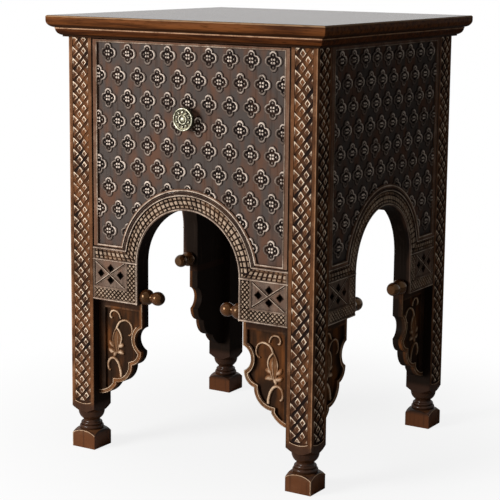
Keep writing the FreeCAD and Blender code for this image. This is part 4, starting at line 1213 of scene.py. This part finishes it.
    def flowers(self) -> None:
        """Sets the flowers in staggered rows, cut where the field ends."""
        pattern = self._flower()
        relief = Relief()
        for row in range(self.rows):
            level = self.first_row - row * self.row_gap
            shift = 0.5 if row % 2 else 0.0
            for column in range(-self.half_columns, self.half_columns):
                x = (column + shift) * self.column_gap
                cuts = self._cuts(x, level)
                if abs(x) > self.half_wide or cuts is None:
                    continue
                flower = bmesh.new()
                flower.from_mesh(pattern)
                flower.transform(Matrix.Translation((x, level, 0)))
                for spot, way in cuts:
                    every = flower.verts[:] + flower.edges[:] + flower.faces[:]
                    made = bmesh.ops.bisect_plane(flower, geom=every, plane_co=spot, plane_no=way,
                                                  clear_outer=True)["geom_cut"]
                    rim = [g for g in made if isinstance(g, bmesh.types.BMEdge)]
                    bmesh.ops.holes_fill(flower, edges=rim)
                relief.join(flower)
        bpy.data.meshes.remove(pattern)
        low, over = self.crest
        self._set(relief, "flowers", self.layout.panel - self.ground, "flower_wood",
                  crest=(low, self.point_high + over), sharp=110.0, body=self.body)

    def lips(self) -> None:
        """Runs rounded lips along the arch and the edges of the field."""
        relief = Relief()
        rise = self.bottom - self.lip_drop - self.spring
        start = math.degrees(math.asin(rise / self.lip_radius))
        arch, groove = (arc((0, self.spring), radius, start, 180 - start, self.lip_steps)
                        for radius in (self.lip_radius, self.groove_radius))
        # the lip narrows and lowers from right to left, so its right part reads lighter: painted
        # highlight
        right, left = self.lip_widths
        widths = [right + (left - right) * i / self.lip_steps for i in range(self.lip_steps + 1)]
        relief.bead(arch, widths, self.lip_high, 0.0)
        # dark strip in the seam beside the lip: painted shade
        relief.bead(groove, *self.groove_bead)
        edge = self.half_wide + self.edge_out
        head = self.top + self.edge_out
        foot = self.bottom - self.foot_out
        inner = abs(arch[0][0])
        for sign in (-1, 1):
            relief.bead([(sign * edge, foot), (sign * edge, head)], *self.edge_bead)
            relief.bead([(sign * inner, foot), (sign * edge, foot)], *self.foot_bead)
        relief.bead([(-edge, head), (edge, head)], *self.edge_bead)
        self._set(relief, "field_lips", self.layout.panel, "bead_wood", crest=(-0.3, 0.8),
                  sharp=80.0, body=self.body)


@dataclass
class ArchCarving(SideWork):
    """The block-carved ring of one arch, its bands, and its hatched and crossed impost blocks."""

    spring: float = 285.0
    jamb: float = 84.5
    ring: float = 110.0
    band_low: float = 284.0
    band_high: float = 303.5
    fillet: float = 3.0
    ground: float = 2.5
    ring_rows: tuple[Point, ...] = ((88.2, 91.6), (93.0, 98.4), (99.8, 103.4))
    ring_start: float = -10.0
    ring_span: float = 200.0
    near_lean: tuple[float, float, float] = (-5.0, 25.0, 35.0)  # least, most, angle without lean
    far_lean: tuple[float, float, float] = (97.0, 0.8, -50.0)  # start, fall with the angle, least
    crowd: float = 0.09
    pitch: float = 7.6
    joint: float = 1.6
    band_rows: tuple[Point, ...] = ((287.3, 290.9), (292.0, 297.2), (298.2, 300.6))
    band_joint: float = 2.1
    band_blocks: tuple[int, int] = (-2, 14)
    band_lean: Point = (38.0, 30.0)  # lean at the arch, and how much less it is at the post
    band_gap: float = 0.8
    band_end: float = 158.6
    band_share: float = 0.84  # height of a band's blocks beside those of the ring
    heights: tuple[float, float, float] = (2.1, 2.45, 1.8)
    slope: float = 0.7
    scrap: float = 2.5  # area up to which a cut block is left out
    strip_end: float = 102.0
    sill_top: float = 244.0
    hatch_pitch: Point = (6.8, 6.9)
    hatch_counts: tuple[int, int] = (12, 18)
    hatch_share: float = 0.38
    hatch_scrap: float = 4.0
    hatch_high: float = 2.4
    panel_low: float = 247.0
    panel_inner: float = 105.0
    panel_outer: float = 159.0
    diamond_rim: float = 6.1
    diamond_out: Point = (17.0, 8.6)
    diamond_bead: Bead = (1.0, 0.14, 0.0)
    arm_ends: Point = (0.03, 0.94)  # shares of the way from the middle to a corner
    # the ridge left of each diagonal stands higher than the right one and is more rubbed: a painted
    # highlight from the left; a low dark bead runs between them
    groove: tuple[tuple[float, float, float], ...] = (
        (1.35, 1.4, 1.0), (0.0, 1.8, 0.12), (-1.3, 1.0, 0.7))  # shift, width, height
    arch_steps: int = 48
    over_steps: int = 44
    jamb_bead: Bead = (1.7, 0.8, 0.0)
    support_width: float = 2.4
    over_bead: Bead = (1.8, 0.85, 0.0)
    band_bead: Bead = (1.6, 0.8, 0.0)
    # a low bead sunk into the seam at the ring's edge, dark with the hollow colour: painted shade in the
    # seam
    gap_in: float = 0.15
    gap_bead: Bead = (1.3, 0.2, -0.7)
    # low bead over the outer fillet that takes the dark hollow colour: painted shade of a groove
    dark_bead: Bead = (2.8, 0.14, 0.0)
    thin_bead: Bead = (1.5, 0.6, 0.0)
    base_bead: Bead = (1.8, 0.8, 0.0)

    def _mitre(self, sign: int) -> tuple[Point, Point]:
        """Finds the line between the ring and a band, with the ring on its left.

        Args:
            sign: half of the side, -1 or 1.

        Returns:
            First and last point of the line.
        """
        low, high = (self.jamb, self.band_low), (self.ring, self.band_high)
        if sign > 0:
            return low, high
        return (-high[0], high[1]), (-low[0], low[1])

    def _ring_blocks(self, row: int) -> list[Path]:
        """Draws the slanted blocks of one row round the arch.

        Args:
            row: number of the row, from the arch outward.

        Returns:
            Their outlines.
        """
        middle = sum(self.ring_rows[1]) / 2
        count = round(self.ring_span / math.degrees(self.pitch / middle))
        step = self.ring_span / count
        least, most, level = self.near_lean
        start, fall, end = self.far_lean

        def spot(radius: float, degrees: float, shift: float) -> Point:
            """Point of a slanted joint.

            Args:
                radius: distance from the middle of the arch.
                degrees: angle of the joint.
                shift: how far the point is moved along the row.

            Returns:
                The point.
            """
            lean = start - degrees * fall
            lean = max(least, min(most, degrees - level, lean)) if degrees < 90 else max(end, lean)
            slant = (radius - middle) * math.tan(math.radians(lean))
            turn = math.radians(degrees) + (slant + shift) / radius
            return radius * math.cos(turn), self.spring + radius * math.sin(turn)

        low, high = self.ring_rows[row]
        half = self.joint / 2
        turns = [self.ring_start + i * step * (1 + self.crowd * (1 - i / count))
                 for i in range(count + 1)]
        mitres = [self._mitre(sign) for sign in (-1, 1)]
        blocks = [cut_to([spot(low, first, half), spot(high, first, half),
                          spot(high, last, -half), spot(low, last, -half)], mitres, self.scrap)
                  for first, last in zip(turns, turns[1:])]
        return [block for block in blocks if block]

    def _band_blocks(self, row: int) -> list[Path]:
        """Draws the slanted blocks of one row on the level bands.

        Args:
            row: number of the row, from the lowest up.

        Returns:
            Their outlines.
        """
        middle = sum(self.band_rows[1]) / 2
        half = self.band_joint / 2
        lean, less = self.band_lean

        def spot(x: float, shift: float, z: float) -> Point:
            """Point of a joint, which leans less the farther it is from the arch.

            Args:
                x: place of the joint across.
                shift: how far the point is moved along the row.
                z: level of the point.

            Returns:
                The point.
            """
            share = min(1.0, max(0.0, (x - self.jamb) / (self.band_end - self.jamb)))
            return x + shift + (z - middle) * math.tan(math.radians(lean - less * share)), z

        blocks = []
        low, high = self.band_rows[row]
        start, end = self._mitre(1)
        lines = (((end[0] + self.band_gap, end[1]), (start[0] + self.band_gap, start[1])),
                 ((self.band_end, low), (self.band_end, high)))
        for i in range(*self.band_blocks):
            first = self.jamb + i * self.pitch
            last = first + self.pitch
            block = cut_to([spot(first, half, low), spot(last, -half, low),
                            spot(last, -half, high), spot(first, half, high)], lines, self.scrap)
            if block:
                blocks += [block, mirrored(block)]
        return blocks

    def blocks(self) -> None:
        """Raises the blocks of the ring and of the bands."""
        relief = Relief()
        for row, height in enumerate(self.heights):
            relief.raise_blocks(self._ring_blocks(row), 0.0, height, self.slope)
            relief.raise_blocks(self._band_blocks(row), 0.0, height * self.band_share, self.slope)
        self._set(relief, "arch_blocks", self.layout.panel - self.ground, "block_wood",
                  crest=(0.0, 2.2), sharp=30.0)

    def hatching(self) -> None:
        """Raises the small points of the hatched strips."""
        wide, high = self.hatch_pitch
        low = self.layout.frame_low + self.fillet
        start = self.jamb + self.fillet
        strips = ((start, self.strip_end, self.sill_top, self.band_low),
                  (start, self.panel_outer, low, self.sill_top))
        columns, rows = self.hatch_counts
        points = []
        for left, right, foot, head in strips:
            corners = ((left, head), (left, foot), (right, foot), (right, head))
            sides = list(zip(corners, corners[1:] + corners[:1]))
            for row in range(rows):
                for column in range(columns):
                    x = start + wide * (column + 0.5 * (row % 2))
                    point = diamond(x, low + high * row / 2, wide * self.hatch_share,
                                    high * self.hatch_share)
                    point = cut_to(point, sides, self.hatch_scrap)
                    if point:
                        points += [point, mirrored(point)]
        relief = Relief()
        relief.raise_blocks(points, 0.0, self.hatch_high, self.slope)
        self._set(relief, "hatching", self.layout.panel - self.ground, "block_wood",
                  crest=(0.2, 2.0), sharp=25.0)

    def crossed_panels(self) -> None:
        """Raises the ridges beside the diagonals and the rims of the pierced diamonds."""
        relief = Relief()
        middle = Vector(((self.panel_inner + self.panel_outer) / 2,
                         (self.panel_low + self.band_low) / 2))
        corner = Vector(((self.panel_outer - self.panel_inner) / 2,
                         (self.band_low - self.panel_low) / 2))
        rim = self.diamond_rim
        for sign in (-1, 1):
            centre = Vector((sign * middle.x, middle.y))
            for across in (-1, 1):
                for up in (-1, 1):
                    arm = Vector((corner.x * across, corner.y * up))
                    beside = Vector((-arm.y, arm.x)).normalized()
                    # keeps the higher, lighter ridge to the left on both halves: painted highlight
                    beside *= -math.copysign(1, beside.x)
                    for shift, width, height in self.groove:
                        line = [centre + arm * share + beside * shift for share in self.arm_ends]
                        relief.bead([tuple(p) for p in line], width, height, 0.0)
            spots = [(self.diamond_out[0] * k, 0.0) for k in (-1, 1)]
            spots += [(0.0, self.diamond_out[1] * k) for k in (-1, 1)]
            for x, z in spots:
                outline = diamond(centre.x + x, centre.y + z, rim, rim)
                relief.bead(outline, *self.diamond_bead, True)
        self._set(relief, "crossed_panels", self.layout.panel - self.ground / 2, "bead_wood",
                  crest=(0.15, 0.8), sharp=60.0)

    def fillets(self) -> None:
        """Runs beads along the fillets that frame the ring, the bands and the blocks."""
        relief = Relief()
        half = self.fillet / 2
        low, end = self.layout.frame_low, self.layout.inner
        inner = self.jamb + half
        arch = arc((0, self.spring), inner, 0, 180, self.arch_steps)
        relief.bead([(inner, low)] + arch + [(-inner, low)], *self.jamb_bead)
        outer = self.ring - self.fillet - half
        rise = self.band_high - half
        start = math.degrees(math.asin((rise - self.spring) / outer))
        over, gap, dark = (arc((0, self.spring), radius, start, 180 - start, self.over_steps)
                           for radius in (outer, self.ring - self.gap_in, self.ring - half))
        relief.bead(over, self.support_width, self.ground, -self.ground)
        relief.bead(over, *self.over_bead)
        for sign in (-1, 1):
            relief.bead([(sign * end, rise), (sign * over[0][0], rise)], *self.band_bead)
        # dark strip in the seam at the ring's edge: painted shade
        relief.bead(gap, *self.gap_bead)
        # painted shade of a groove on the outer fillet
        relief.bead(dark, *self.dark_bead)
        sill = self.sill_top + half
        side = self.strip_end + half
        for sign in (-1, 1):
            near, far, jamb = sign * side, sign * (end - half), sign * self.jamb
            head, foot = self.band_low + half, low + half
            relief.bead([(jamb, head), (sign * end, head)], *self.jamb_bead)
            relief.bead([(far, low), (far, rise)], *self.thin_bead)
            relief.bead([(near, self.band_low), (near, sill), (far, sill)], *self.thin_bead)
            relief.bead([(jamb, foot), (sign * end, foot)], *self.base_bead)
        self._set(relief, "arch_fillets", self.layout.panel, "bead_wood", crest=(0.1, 0.75), sharp=80.0)


@dataclass
class PostLattice(JambWork):
    """The woven diamonds and teeth on one face of a post.

    A relief is given by its base, height, slope, dish and rim.
    """

    middle: float
    foot: float = 71.0
    margin: float = 0.6
    ground: float = 1.5
    drawn: float = 17.2  # repeat of the shapes below
    spare: tuple[int, int] = (2, 3)  # repeats begun below the foot and past the head
    strip: tuple[Point, Point] = ((-13.6, -13.5), (13.6, 18.2))
    strip_half: float = 5.7
    rhombs: tuple[Quad, ...] = ((-2.0, 0.0, 5.2, 6.1), (5.9, -8.0, 4.7, 5.7))
    # Tip, level, root and half height of each tooth.
    teeth: tuple[Quad, ...] = ((-4.0, -9.2, -13.6, 7.3), (9.4, 0.6, 13.6, 4.8))
    scrap: float = 12.0  # area up to which a cut shape is left out
    # rise of the rhombs' and teeth's tops across and up, which leaves their upper edges more rubbed and
    # lighter: a painted highlight
    tilt: Point = (0.045, 0.085)
    strip_relief: tuple[float, ...] = (0.0, 0.65, 0.3)
    rhomb_relief: tuple[float, ...] = (0.0, 1.6, 0.5, 0.7, 0.8)
    tooth_relief: tuple[float, ...] = (0.0, 1.4, 0.45, 0.7, 0.75)

    PERIODS = {"front_left": 16.15, "front_right": 18.6}  # repeats measured on the front posts

    def _shapes(self) -> tuple[list[Path], list[Path], list[Path]]:
        """Draws the lattice from the foot of the field to its head.

        Returns:
            Outlines of the rhombs, of the teeth and of the slanted strips under them.
        """
        low, high = self.foot + self.margin, self.layout.cornice - self.margin
        period = self.PERIODS.get(self.label, self.drawn)
        stretch = period / self.drawn
        rhombs, teeth, strips = [], [], []
        shapes = [(diamond(*rhomb), rhombs) for rhomb in self.rhombs]
        shapes += [([(tip, z), (root, z + tall), (root, z - tall)], teeth)
                   for tip, z, root, tall in self.teeth]
        (left, fall), (right, rise) = self.strip
        half = self.strip_half
        shapes.append(([(left, fall - half), (right, rise - half), (right, rise + half),
                        (left, fall + half)], strips))
        ends = (((-1, low), (1, low)), ((1, high), (-1, high)))
        before, after = self.spare
        for i in range(-before, int((high - low) / period) + after):
            level = low + i * period
            for outline, kept in shapes:
                outline = cut_to([(x, level + z * stretch) for x, z in outline], ends, self.scrap)
                if outline:
                    kept.append([(self.middle + x, z) for x, z in outline])
        return rhombs, teeth, strips

    def carving(self) -> None:
        """Raises low slanted strips, and on them the rhombs and teeth, dished within their rims."""
        rhombs, teeth, strips = self._shapes()
        relief = Relief()
        relief.raise_blocks(strips, *self.strip_relief)
        # tilted tops lighten the upper edges as a painted highlight
        relief.raise_blocks(rhombs, *self.rhomb_relief, self.tilt)
        relief.raise_blocks(teeth, *self.tooth_relief, self.tilt)
        self._set(relief, "lattice", self.layout.body - self.ground, "lattice_wood",
                  crest=(0.3, 1.75), sharp=30.0)


@dataclass
class BracketCarving(JambWork):
    """The vine on one scalloped bracket and the beads along its edge.

    Points of the vine are given as distance from the post and level.
    """

    sign: int
    jamb: float = 84.5
    ground: float = 4.0
    straight: float = 190.0
    cusp: Point = (2.0, 155.0)
    upper: Point = (18.5, 133.0)
    middle: Point = (46.5, 104.0)
    tail: float = 83.0
    step: float = 3.0
    bows: Quad = (12.0, -5.0, -7.0, -4.5)
    leaf_steps: int = 8
    leaf_swell: tuple[float, float, float] = (0.14, 0.76, 0.8)  # start, run and power of its width
    leaf_least: float = 0.5
    leaf_high: float = 2.8
    body_relief: tuple[float, ...] = (0.0, 1.5, 1.2)
    edge_rows: tuple[tuple[float, float, float, bool], ...] = (
        (1.1, 1.3, 0.8, True), (3.2, 3.0, 0.4, True), (5.6, 1.5, 1.0, False))

    # Points of each stem, its widths at the start and the end, and its height.
    STEMS = (
        (((36.9, 199), (34, 206), (28.7, 209.3), (22, 208.6), (19, 204), (19.6, 199.6),
          (22.3, 198.4)), 3.0, 3.6, 3.0),
        (((30, 184), (33, 190.5), (37.5, 195), (46, 197.5), (53.5, 194.5), (57, 188),
          (57.2, 181), (54, 176.6), (51, 176.2)), 4.2, 3.0, 3.0),
        (((37.4, 113), (37, 120), (33.5, 131), (28.5, 137.3), (23, 139.2), (17.2, 136),
          (14.6, 129), (15.5, 122.5), (18.4, 120)), 5.6, 4.2, 3.0),
        (((30, 185), (25.2, 177), (23.2, 168), (24.4, 158), (26.2, 149)), 3.0, 2.4, 2.5),
        (((30, 185), (35.3, 179.5), (38.4, 171.5), (37.6, 164.5), (34.2, 156.5), (31.2, 148)),
         4.0, 2.8, 3.0),
        (((31, 177), (31.8, 168), (30.6, 157), (29, 146)), 2.2, 3.2, 2.5),
    )
    LEAF = ((30, 182), (25.6, 175), (24.4, 166), (26, 155), (29, 146), (32.4, 152), (36.6, 164),
            (36.4, 173), (30, 182))
    # Base, tip, width and bend of each lobe of the leaf.
    LOBES = (
        ((25.4, 156), (17.0, 165.0), 8.0, -1.6), ((27, 149), (15.8, 152.6), 8.4, -1.8),
        ((33, 155.6), (42.8, 159.4), 8.6, -1.8), ((30.6, 148), (42.8, 146.6), 8.6, -2.0),
        ((28.8, 149), (25.4, 140.4), 6.6, 0.8))

    def _edge(self) -> Path:
        """Draws the scalloped edge from the block down to the post, with the wood on its left.

        Returns:
            The points of the edge.
        """
        jamb = self.jamb
        cusp, upper, middle = ((jamb + x, z) for x, z in (self.cusp, self.upper, self.middle))
        first, second, third, fourth = self.bows
        path = [(jamb, self.layout.frame_low)]
        path += bow((jamb, self.straight), cusp, first)
        path += bow(cusp, upper, second)[1:]
        path += bow((upper[0], upper[1] - self.step), middle, third)
        path += bow((middle[0], middle[1] - self.step), (self.layout.inner, self.tail), fourth)
        return path

    def _spot(self, points: Sequence[Point]) -> Path:
        """Points given from the post, on this bracket's half of the side."""
        return [(self.sign * (self.layout.inner - u), z) for u, z in points]

    def _stem(self, relief: Relief, points: Sequence[Point], start: float, end: float,
              height: float) -> None:
        """Lays a tapered stem.

        Args:
            relief: the carving.
            points: points that the stem goes through.
            start: its width at the first point.
            end: its width at the last point.
            height: its height.
        """
        path = smooth(self._spot(points))
        last = len(path) - 1
        widths = [start + (end - start) * i / last for i in range(last + 1)]
        relief.bead(path, widths, height, 0.0)

    def _lobe(self, relief: Relief, base: Point, tip: Point, wide: float, bend: float) -> None:
        """Lays one pointed lobe of the leaf.

        Args:
            relief: the carving.
            base: foot of the lobe.
            tip: its tip.
            wide: its greatest width.
            bend: how far it is bent to one side.
        """
        steps = self.leaf_steps
        start, run, power = self.leaf_swell
        path = bow(*self._spot((base, tip)), bend * self.sign, steps)
        swell = [math.sin(math.pi * (start + run * i / steps)) ** power for i in range(steps + 1)]
        relief.bead(path, [max(self.leaf_least, wide * part) for part in swell], self.leaf_high, 0.0)

    def vine(self) -> None:
        """Raises the curls and the leaf."""
        relief = Relief()
        for stem in self.STEMS:
            self._stem(relief, *stem)
        relief.raise_blocks([self._spot(smooth(self.LEAF)[:-1])], *self.body_relief)
        for lobe in self.LOBES:
            self._lobe(relief, *lobe)
        self._set(relief, "vine", self.layout.bracket - self.ground, "vine_wood",
                  crest=(0.2, 3.0), sharp=80.0)

    def edge_beads(self) -> None:
        """Runs beads along the scalloped edge, two of them up to the block."""
        relief = Relief()
        for inset, width, height, whole in self.edge_rows:
            line = [p for p in inset_line(self._edge(), inset) if p[1] < self.straight + 1]
            if whole:
                x = self.jamb + inset
                line = [(x, self.layout.frame_low), (x, self.straight + 2)] + line
            relief.bead(line if self.sign > 0 else mirrored(line), width, height, 0.0)
        self._set(relief, "edge_beads", self.layout.bracket, "vine_wood", crest=(-0.3, 0.9), sharp=80.0)


@dataclass
class FootEdges(SideWork):
    """The rubbed edges of the foot blocks and of the post fields on one side."""

    corner: float = 18.0
    corner_foot: float = 1.0
    shoulder: float = 26.8
    shoulder_radius: float = 18.5
    clear_radius: float = 30.0
    bulge: float = 1.5
    steps: int = 10
    bead: Bead = (1.1, 0.4, 0.0)
    field_foot: float = 70.2
    field_half: float = 14.4
    field_bow: float = 3.0

    def _arch(self) -> Path:
        """Draws the rounded upper edge of a block, from corner to corner about its middle.

        Returns:
            The points of the edge.
        """
        half = (self.layout.body - self.layout.inner) / 2
        reach = self.clear_radius - self.shoulder_radius
        path: Path = []
        for i in range(-self.steps, self.steps + 1):
            across = half * i / self.steps
            share = (self.clear_radius - math.hypot(half, across)) / reach
            level = self.corner + (self.shoulder - self.corner) * share
            path.append((across, level + 4 * self.bulge * share * (1 - share) - self.bead[0] / 2))
        return path

    def edges(self) -> None:
        """Runs thin beads along the upper edges, the outer corners and under the post fields."""
        relief = Relief()
        arch = self._arch()
        middle = (self.layout.body + self.layout.inner) / 2
        for sign in (-1, 1):
            relief.bead([(sign * middle + x, z) for x, z in arch], *self.bead)
            ends = [(sign * middle + x, self.field_foot) for x in (-self.field_half, self.field_half)]
            relief.bead(bow(*ends, -self.field_bow), *self.bead)
            corner = sign * (self.layout.body - self.bead[0] / 2)
            relief.bead([(corner, self.corner_foot), (corner, arch[0][1])], *self.bead)
        self._set(relief, "foot_edges", self.layout.body, "vine_wood", crest=(-0.3, 0.35), sharp=80.0)


@dataclass
class MouldingTrim(SideWork):
    """The rubbed bead along the head of the moulding on one side."""

    width: float = 2.2
    height: float = 0.8

    def bead(self) -> None:
        """Runs the bead from corner to corner."""
        relief = Relief()
        level = self.layout.moulding_top - self.width / 2
        reach = self.layout.moulding + self.height / 2
        relief.bead([(-reach, level), (reach, level)], self.width, self.height, 0.0)
        self._set(relief, "moulding_bead", self.layout.moulding, "edge_wood", crest=(-0.3, 0.75),
                  sharp=80.0, slot=Slot.TOP)


@dataclass
class KnobTrim:
    """The raised rings, petals and boss on the rosette of the knob.

    A ball is given by its radius, its level, its flatness and its numbers of faces.
    """

    layout: Layout
    finishes: Finishes
    rim_in: float = 1.3
    rim_steps: int = 48
    rim_bead: Bead = (2.4, 1.1, -1.3)
    ring: float = 6.0
    ring_steps: int = 30
    ring_bead: Bead = (1.5, 0.9, -0.55)
    petals: int = 10
    petal_ring: float = 10.0
    petal: tuple[float, float, float, int, int] = (1.5, -0.9, 0.8, 10, 6)
    boss: tuple[float, float, float, int, int] = (3.4, -0.8, 0.5, 20, 10)

    @staticmethod
    def _ball(relief: Relief, spot: Point, radius: float, level: float, flat: float, round_faces: int,
              high_faces: int) -> None:
        """Raises a flattened ball.

        Args:
            relief: the carving.
            spot: its middle on the face of the knob.
            radius: its radius.
            level: level of its middle.
            flat: its height beside its width.
            round_faces: number of faces round it.
            high_faces: number of faces from pole to pole.
        """
        ball = bmesh.new()
        place = Matrix.Translation((*spot, level)) @ Matrix.Diagonal((1, 1, flat, 1))
        bmesh.ops.create_uvsphere(ball, u_segments=round_faces, v_segments=high_faces, radius=radius,
                                  matrix=place)
        relief.join(ball)

    def rosette(self) -> None:
        """Raises the rosette on the face of the knob."""
        relief = Relief()
        rim = self.layout.knob_radius - self.rim_in
        relief.bead(arc((0, 0), rim, 0, 360, self.rim_steps)[:-1], *self.rim_bead, True)
        relief.bead(arc((0, 0), self.ring, 0, 360, self.ring_steps)[:-1], *self.ring_bead, True)
        for i in range(self.petals):
            turn = 360 / self.petals * (i + 0.5)
            self._ball(relief, arc((0, 0), self.petal_ring, turn, turn + 1, 1)[0], *self.petal)
        self._ball(relief, (0, 0), *self.boss)
        place = Matrix.Translation((0, 0, self.layout.knob_level * MM))
        plane = place @ Side.FRONT.plane(self.layout.knob_face)
        relief.finish("knob_rosette", plane, self.finishes["aged_brass"], Body.DRAWER,
                      (-1.0, 0.3), Slot.BRASS, 60.0)


@dataclass
class Studio:
    """Pale floor, soft light from the front left, and the camera of the picture."""

    azimuth: float = 31.552
    elevation: float = 10.055
    roll: float = 0.617
    distance: float = 2.3454
    target: tuple[float, float, float] = (-0.0061, 0.0, 0.31334)
    lens: float = 113.71
    shift: Point = (-0.02, -0.04)
    surround: float = 0.016
    floor_half: float = 8.0
    floor_drop: float = 0.5
    floor_tones: tuple[Colour, Colour] = ((0.86, 0.86, 0.85), (0.9, 0.9, 0.89))
    floor_glow: Quad = (0.15, 0.7, 0.84, 1.0)

    WHITE = (1, 1, 1, 1)
    # Place, power in watts and width of each lamp.
    LAMPS = {"window": ((-1.1, -2.15, 0.92), 73.0, 0.9), "ceiling": ((-0.3, -0.4, 2.6), 9.0, 1.8)}

    def camera(self) -> None:
        """Sets up the camera."""
        turn, rise, tilt = (math.radians(a) for a in (self.azimuth, self.elevation, self.roll))
        back = Vector((math.sin(turn) * math.cos(rise), -math.cos(turn) * math.cos(rise),
                       math.sin(rise)))
        right = (-back).cross(Vector((0, 0, 1))).normalized()
        up = right.cross(-back)
        level = Matrix((right * math.cos(tilt) + up * math.sin(tilt),
                        up * math.cos(tilt) - right * math.sin(tilt), back)).transposed()
        data = bpy.data.cameras.new("camera")
        data.lens = self.lens
        data.sensor_fit = "HORIZONTAL"
        data.shift_x, data.shift_y = self.shift
        eye = bpy.data.objects.new("camera", data)
        eye.matrix_world = Matrix.Translation(Vector(self.target) + back * self.distance) @ level.to_4x4()
        bpy.context.scene.collection.objects.link(eye)
        bpy.context.scene.camera = eye

    def _lamp(self, name: str, spot: Vector, power: float, size: float) -> None:
        """Hangs one square soft lamp that faces the table.

        Args:
            name: name of the lamp.
            spot: its place.
            power: its power in watts.
            size: its width.
        """
        data = bpy.data.lights.new(name, "AREA")
        data.energy = power
        data.size = size
        lamp = bpy.data.objects.new(name, data)
        lamp.location = spot
        lamp.rotation_euler = (spot - Vector(self.target)).to_track_quat("Z", "Y").to_euler()
        bpy.context.scene.collection.objects.link(lamp)

    def light(self) -> None:
        """Hangs the lamps and lights the surround, which shows white."""
        for name, (spot, power, size) in self.LAMPS.items():
            self._lamp(name, Vector(spot), power, size)
        world = bpy.data.worlds.new("surround")
        bpy.context.scene.world = world
        world.use_nodes = True
        nodes = Nodes(world.node_tree)
        path = nodes.add("LightPath").outputs
        seen = nodes.math("MAXIMUM", path["Is Camera Ray"], path["Is Glossy Ray"])
        seen = nodes.math("MAXIMUM", seen, path["Is Transmission Ray"])
        dim, white = (nodes.add("Background", {"Color": self.WHITE, "Strength": strength})
                      for strength in (self.surround, 1.0))
        nodes.add("OutputWorld", {"Surface": nodes.blend(seen, dim, white)})

    def floor(self) -> None:
        """Lays the pale floor, which turns white away from the table."""
        shape = bmesh.new()
        bmesh.ops.create_grid(shape, x_segments=1, y_segments=1, size=self.floor_half)
        bmesh.ops.translate(shape, vec=(0, 0, -self.floor_drop * MM), verts=shape.verts)
        mesh = bpy.data.meshes.new("floor")
        shape.to_mesh(mesh)
        shape.free()
        made = bpy.data.materials.new("pale_floor")
        made.use_nodes = True
        nodes = Nodes(made.node_tree)
        place = nodes.add("TexCoord").outputs["Object"]
        away = nodes.add("VectorMath", {0: place}, operation="LENGTH").outputs["Value"]
        cloud = nodes.noise(place, 6.0, 2.0)
        shader = nodes.add("BsdfPrincipled", {"Roughness": 0.9, "Specular IOR Level": 0.1})
        nodes.feed(shader.inputs["Base Color"], nodes.mix(cloud, *self.floor_tones))
        glow = nodes.add("Emission", {"Color": self.WHITE, "Strength": 1.0})
        path = nodes.add("LightPath").outputs["Is Camera Ray"]
        share = nodes.math("MULTIPLY", nodes.ramp(away, *self.floor_glow), path)
        nodes.add("OutputMaterial", {"Surface": nodes.blend(share, shader, glow)})
        mesh.materials.append(made)
        ground = bpy.data.objects.new("floor", mesh)
        bpy.context.scene.collection.objects.link(ground)


def main() -> None:
    """Builds the carving, finishes, light and camera in order."""
    logging.basicConfig(level=logging.INFO, format="%(message)s")
    bpy.context.scene.view_settings.view_transform = "Standard"
    layout = Layout.read()
    finishes = Finishes(Effects(), layout)
    finishes.dress_solids()
    jambs = {Side.FRONT: ("left", "right"), Side.LEFT: ("back", "front"), Side.RIGHT: ("front", "back")}
    for side, names in jambs.items():
        body = Body.DRAWER if side is Side.FRONT else Body.CARCASS
        field = FlowerField(side, layout, finishes, body)
        field.flowers()
        field.lips()
        arch = ArchCarving(side, layout, finishes)
        arch.blocks()
        arch.hatching()
        arch.crossed_panels()
        arch.fillets()
        for sign, name in zip((-1, 1), names):
            bracket = BracketCarving(side, layout, finishes, name, sign)
            bracket.vine()
            bracket.edge_beads()
            middle = sign * (layout.inner + layout.body) / 2
            PostLattice(side, layout, finishes, name, middle).carving()
        FootEdges(side, layout, finishes).edges()
    for side in Side:
        MouldingTrim(side, layout, finishes).bead()
    KnobTrim(layout, finishes).rosette()
    studio = Studio()
    studio.floor()
    studio.light()
    studio.camera()


if __name__ == "__main__":
    main()
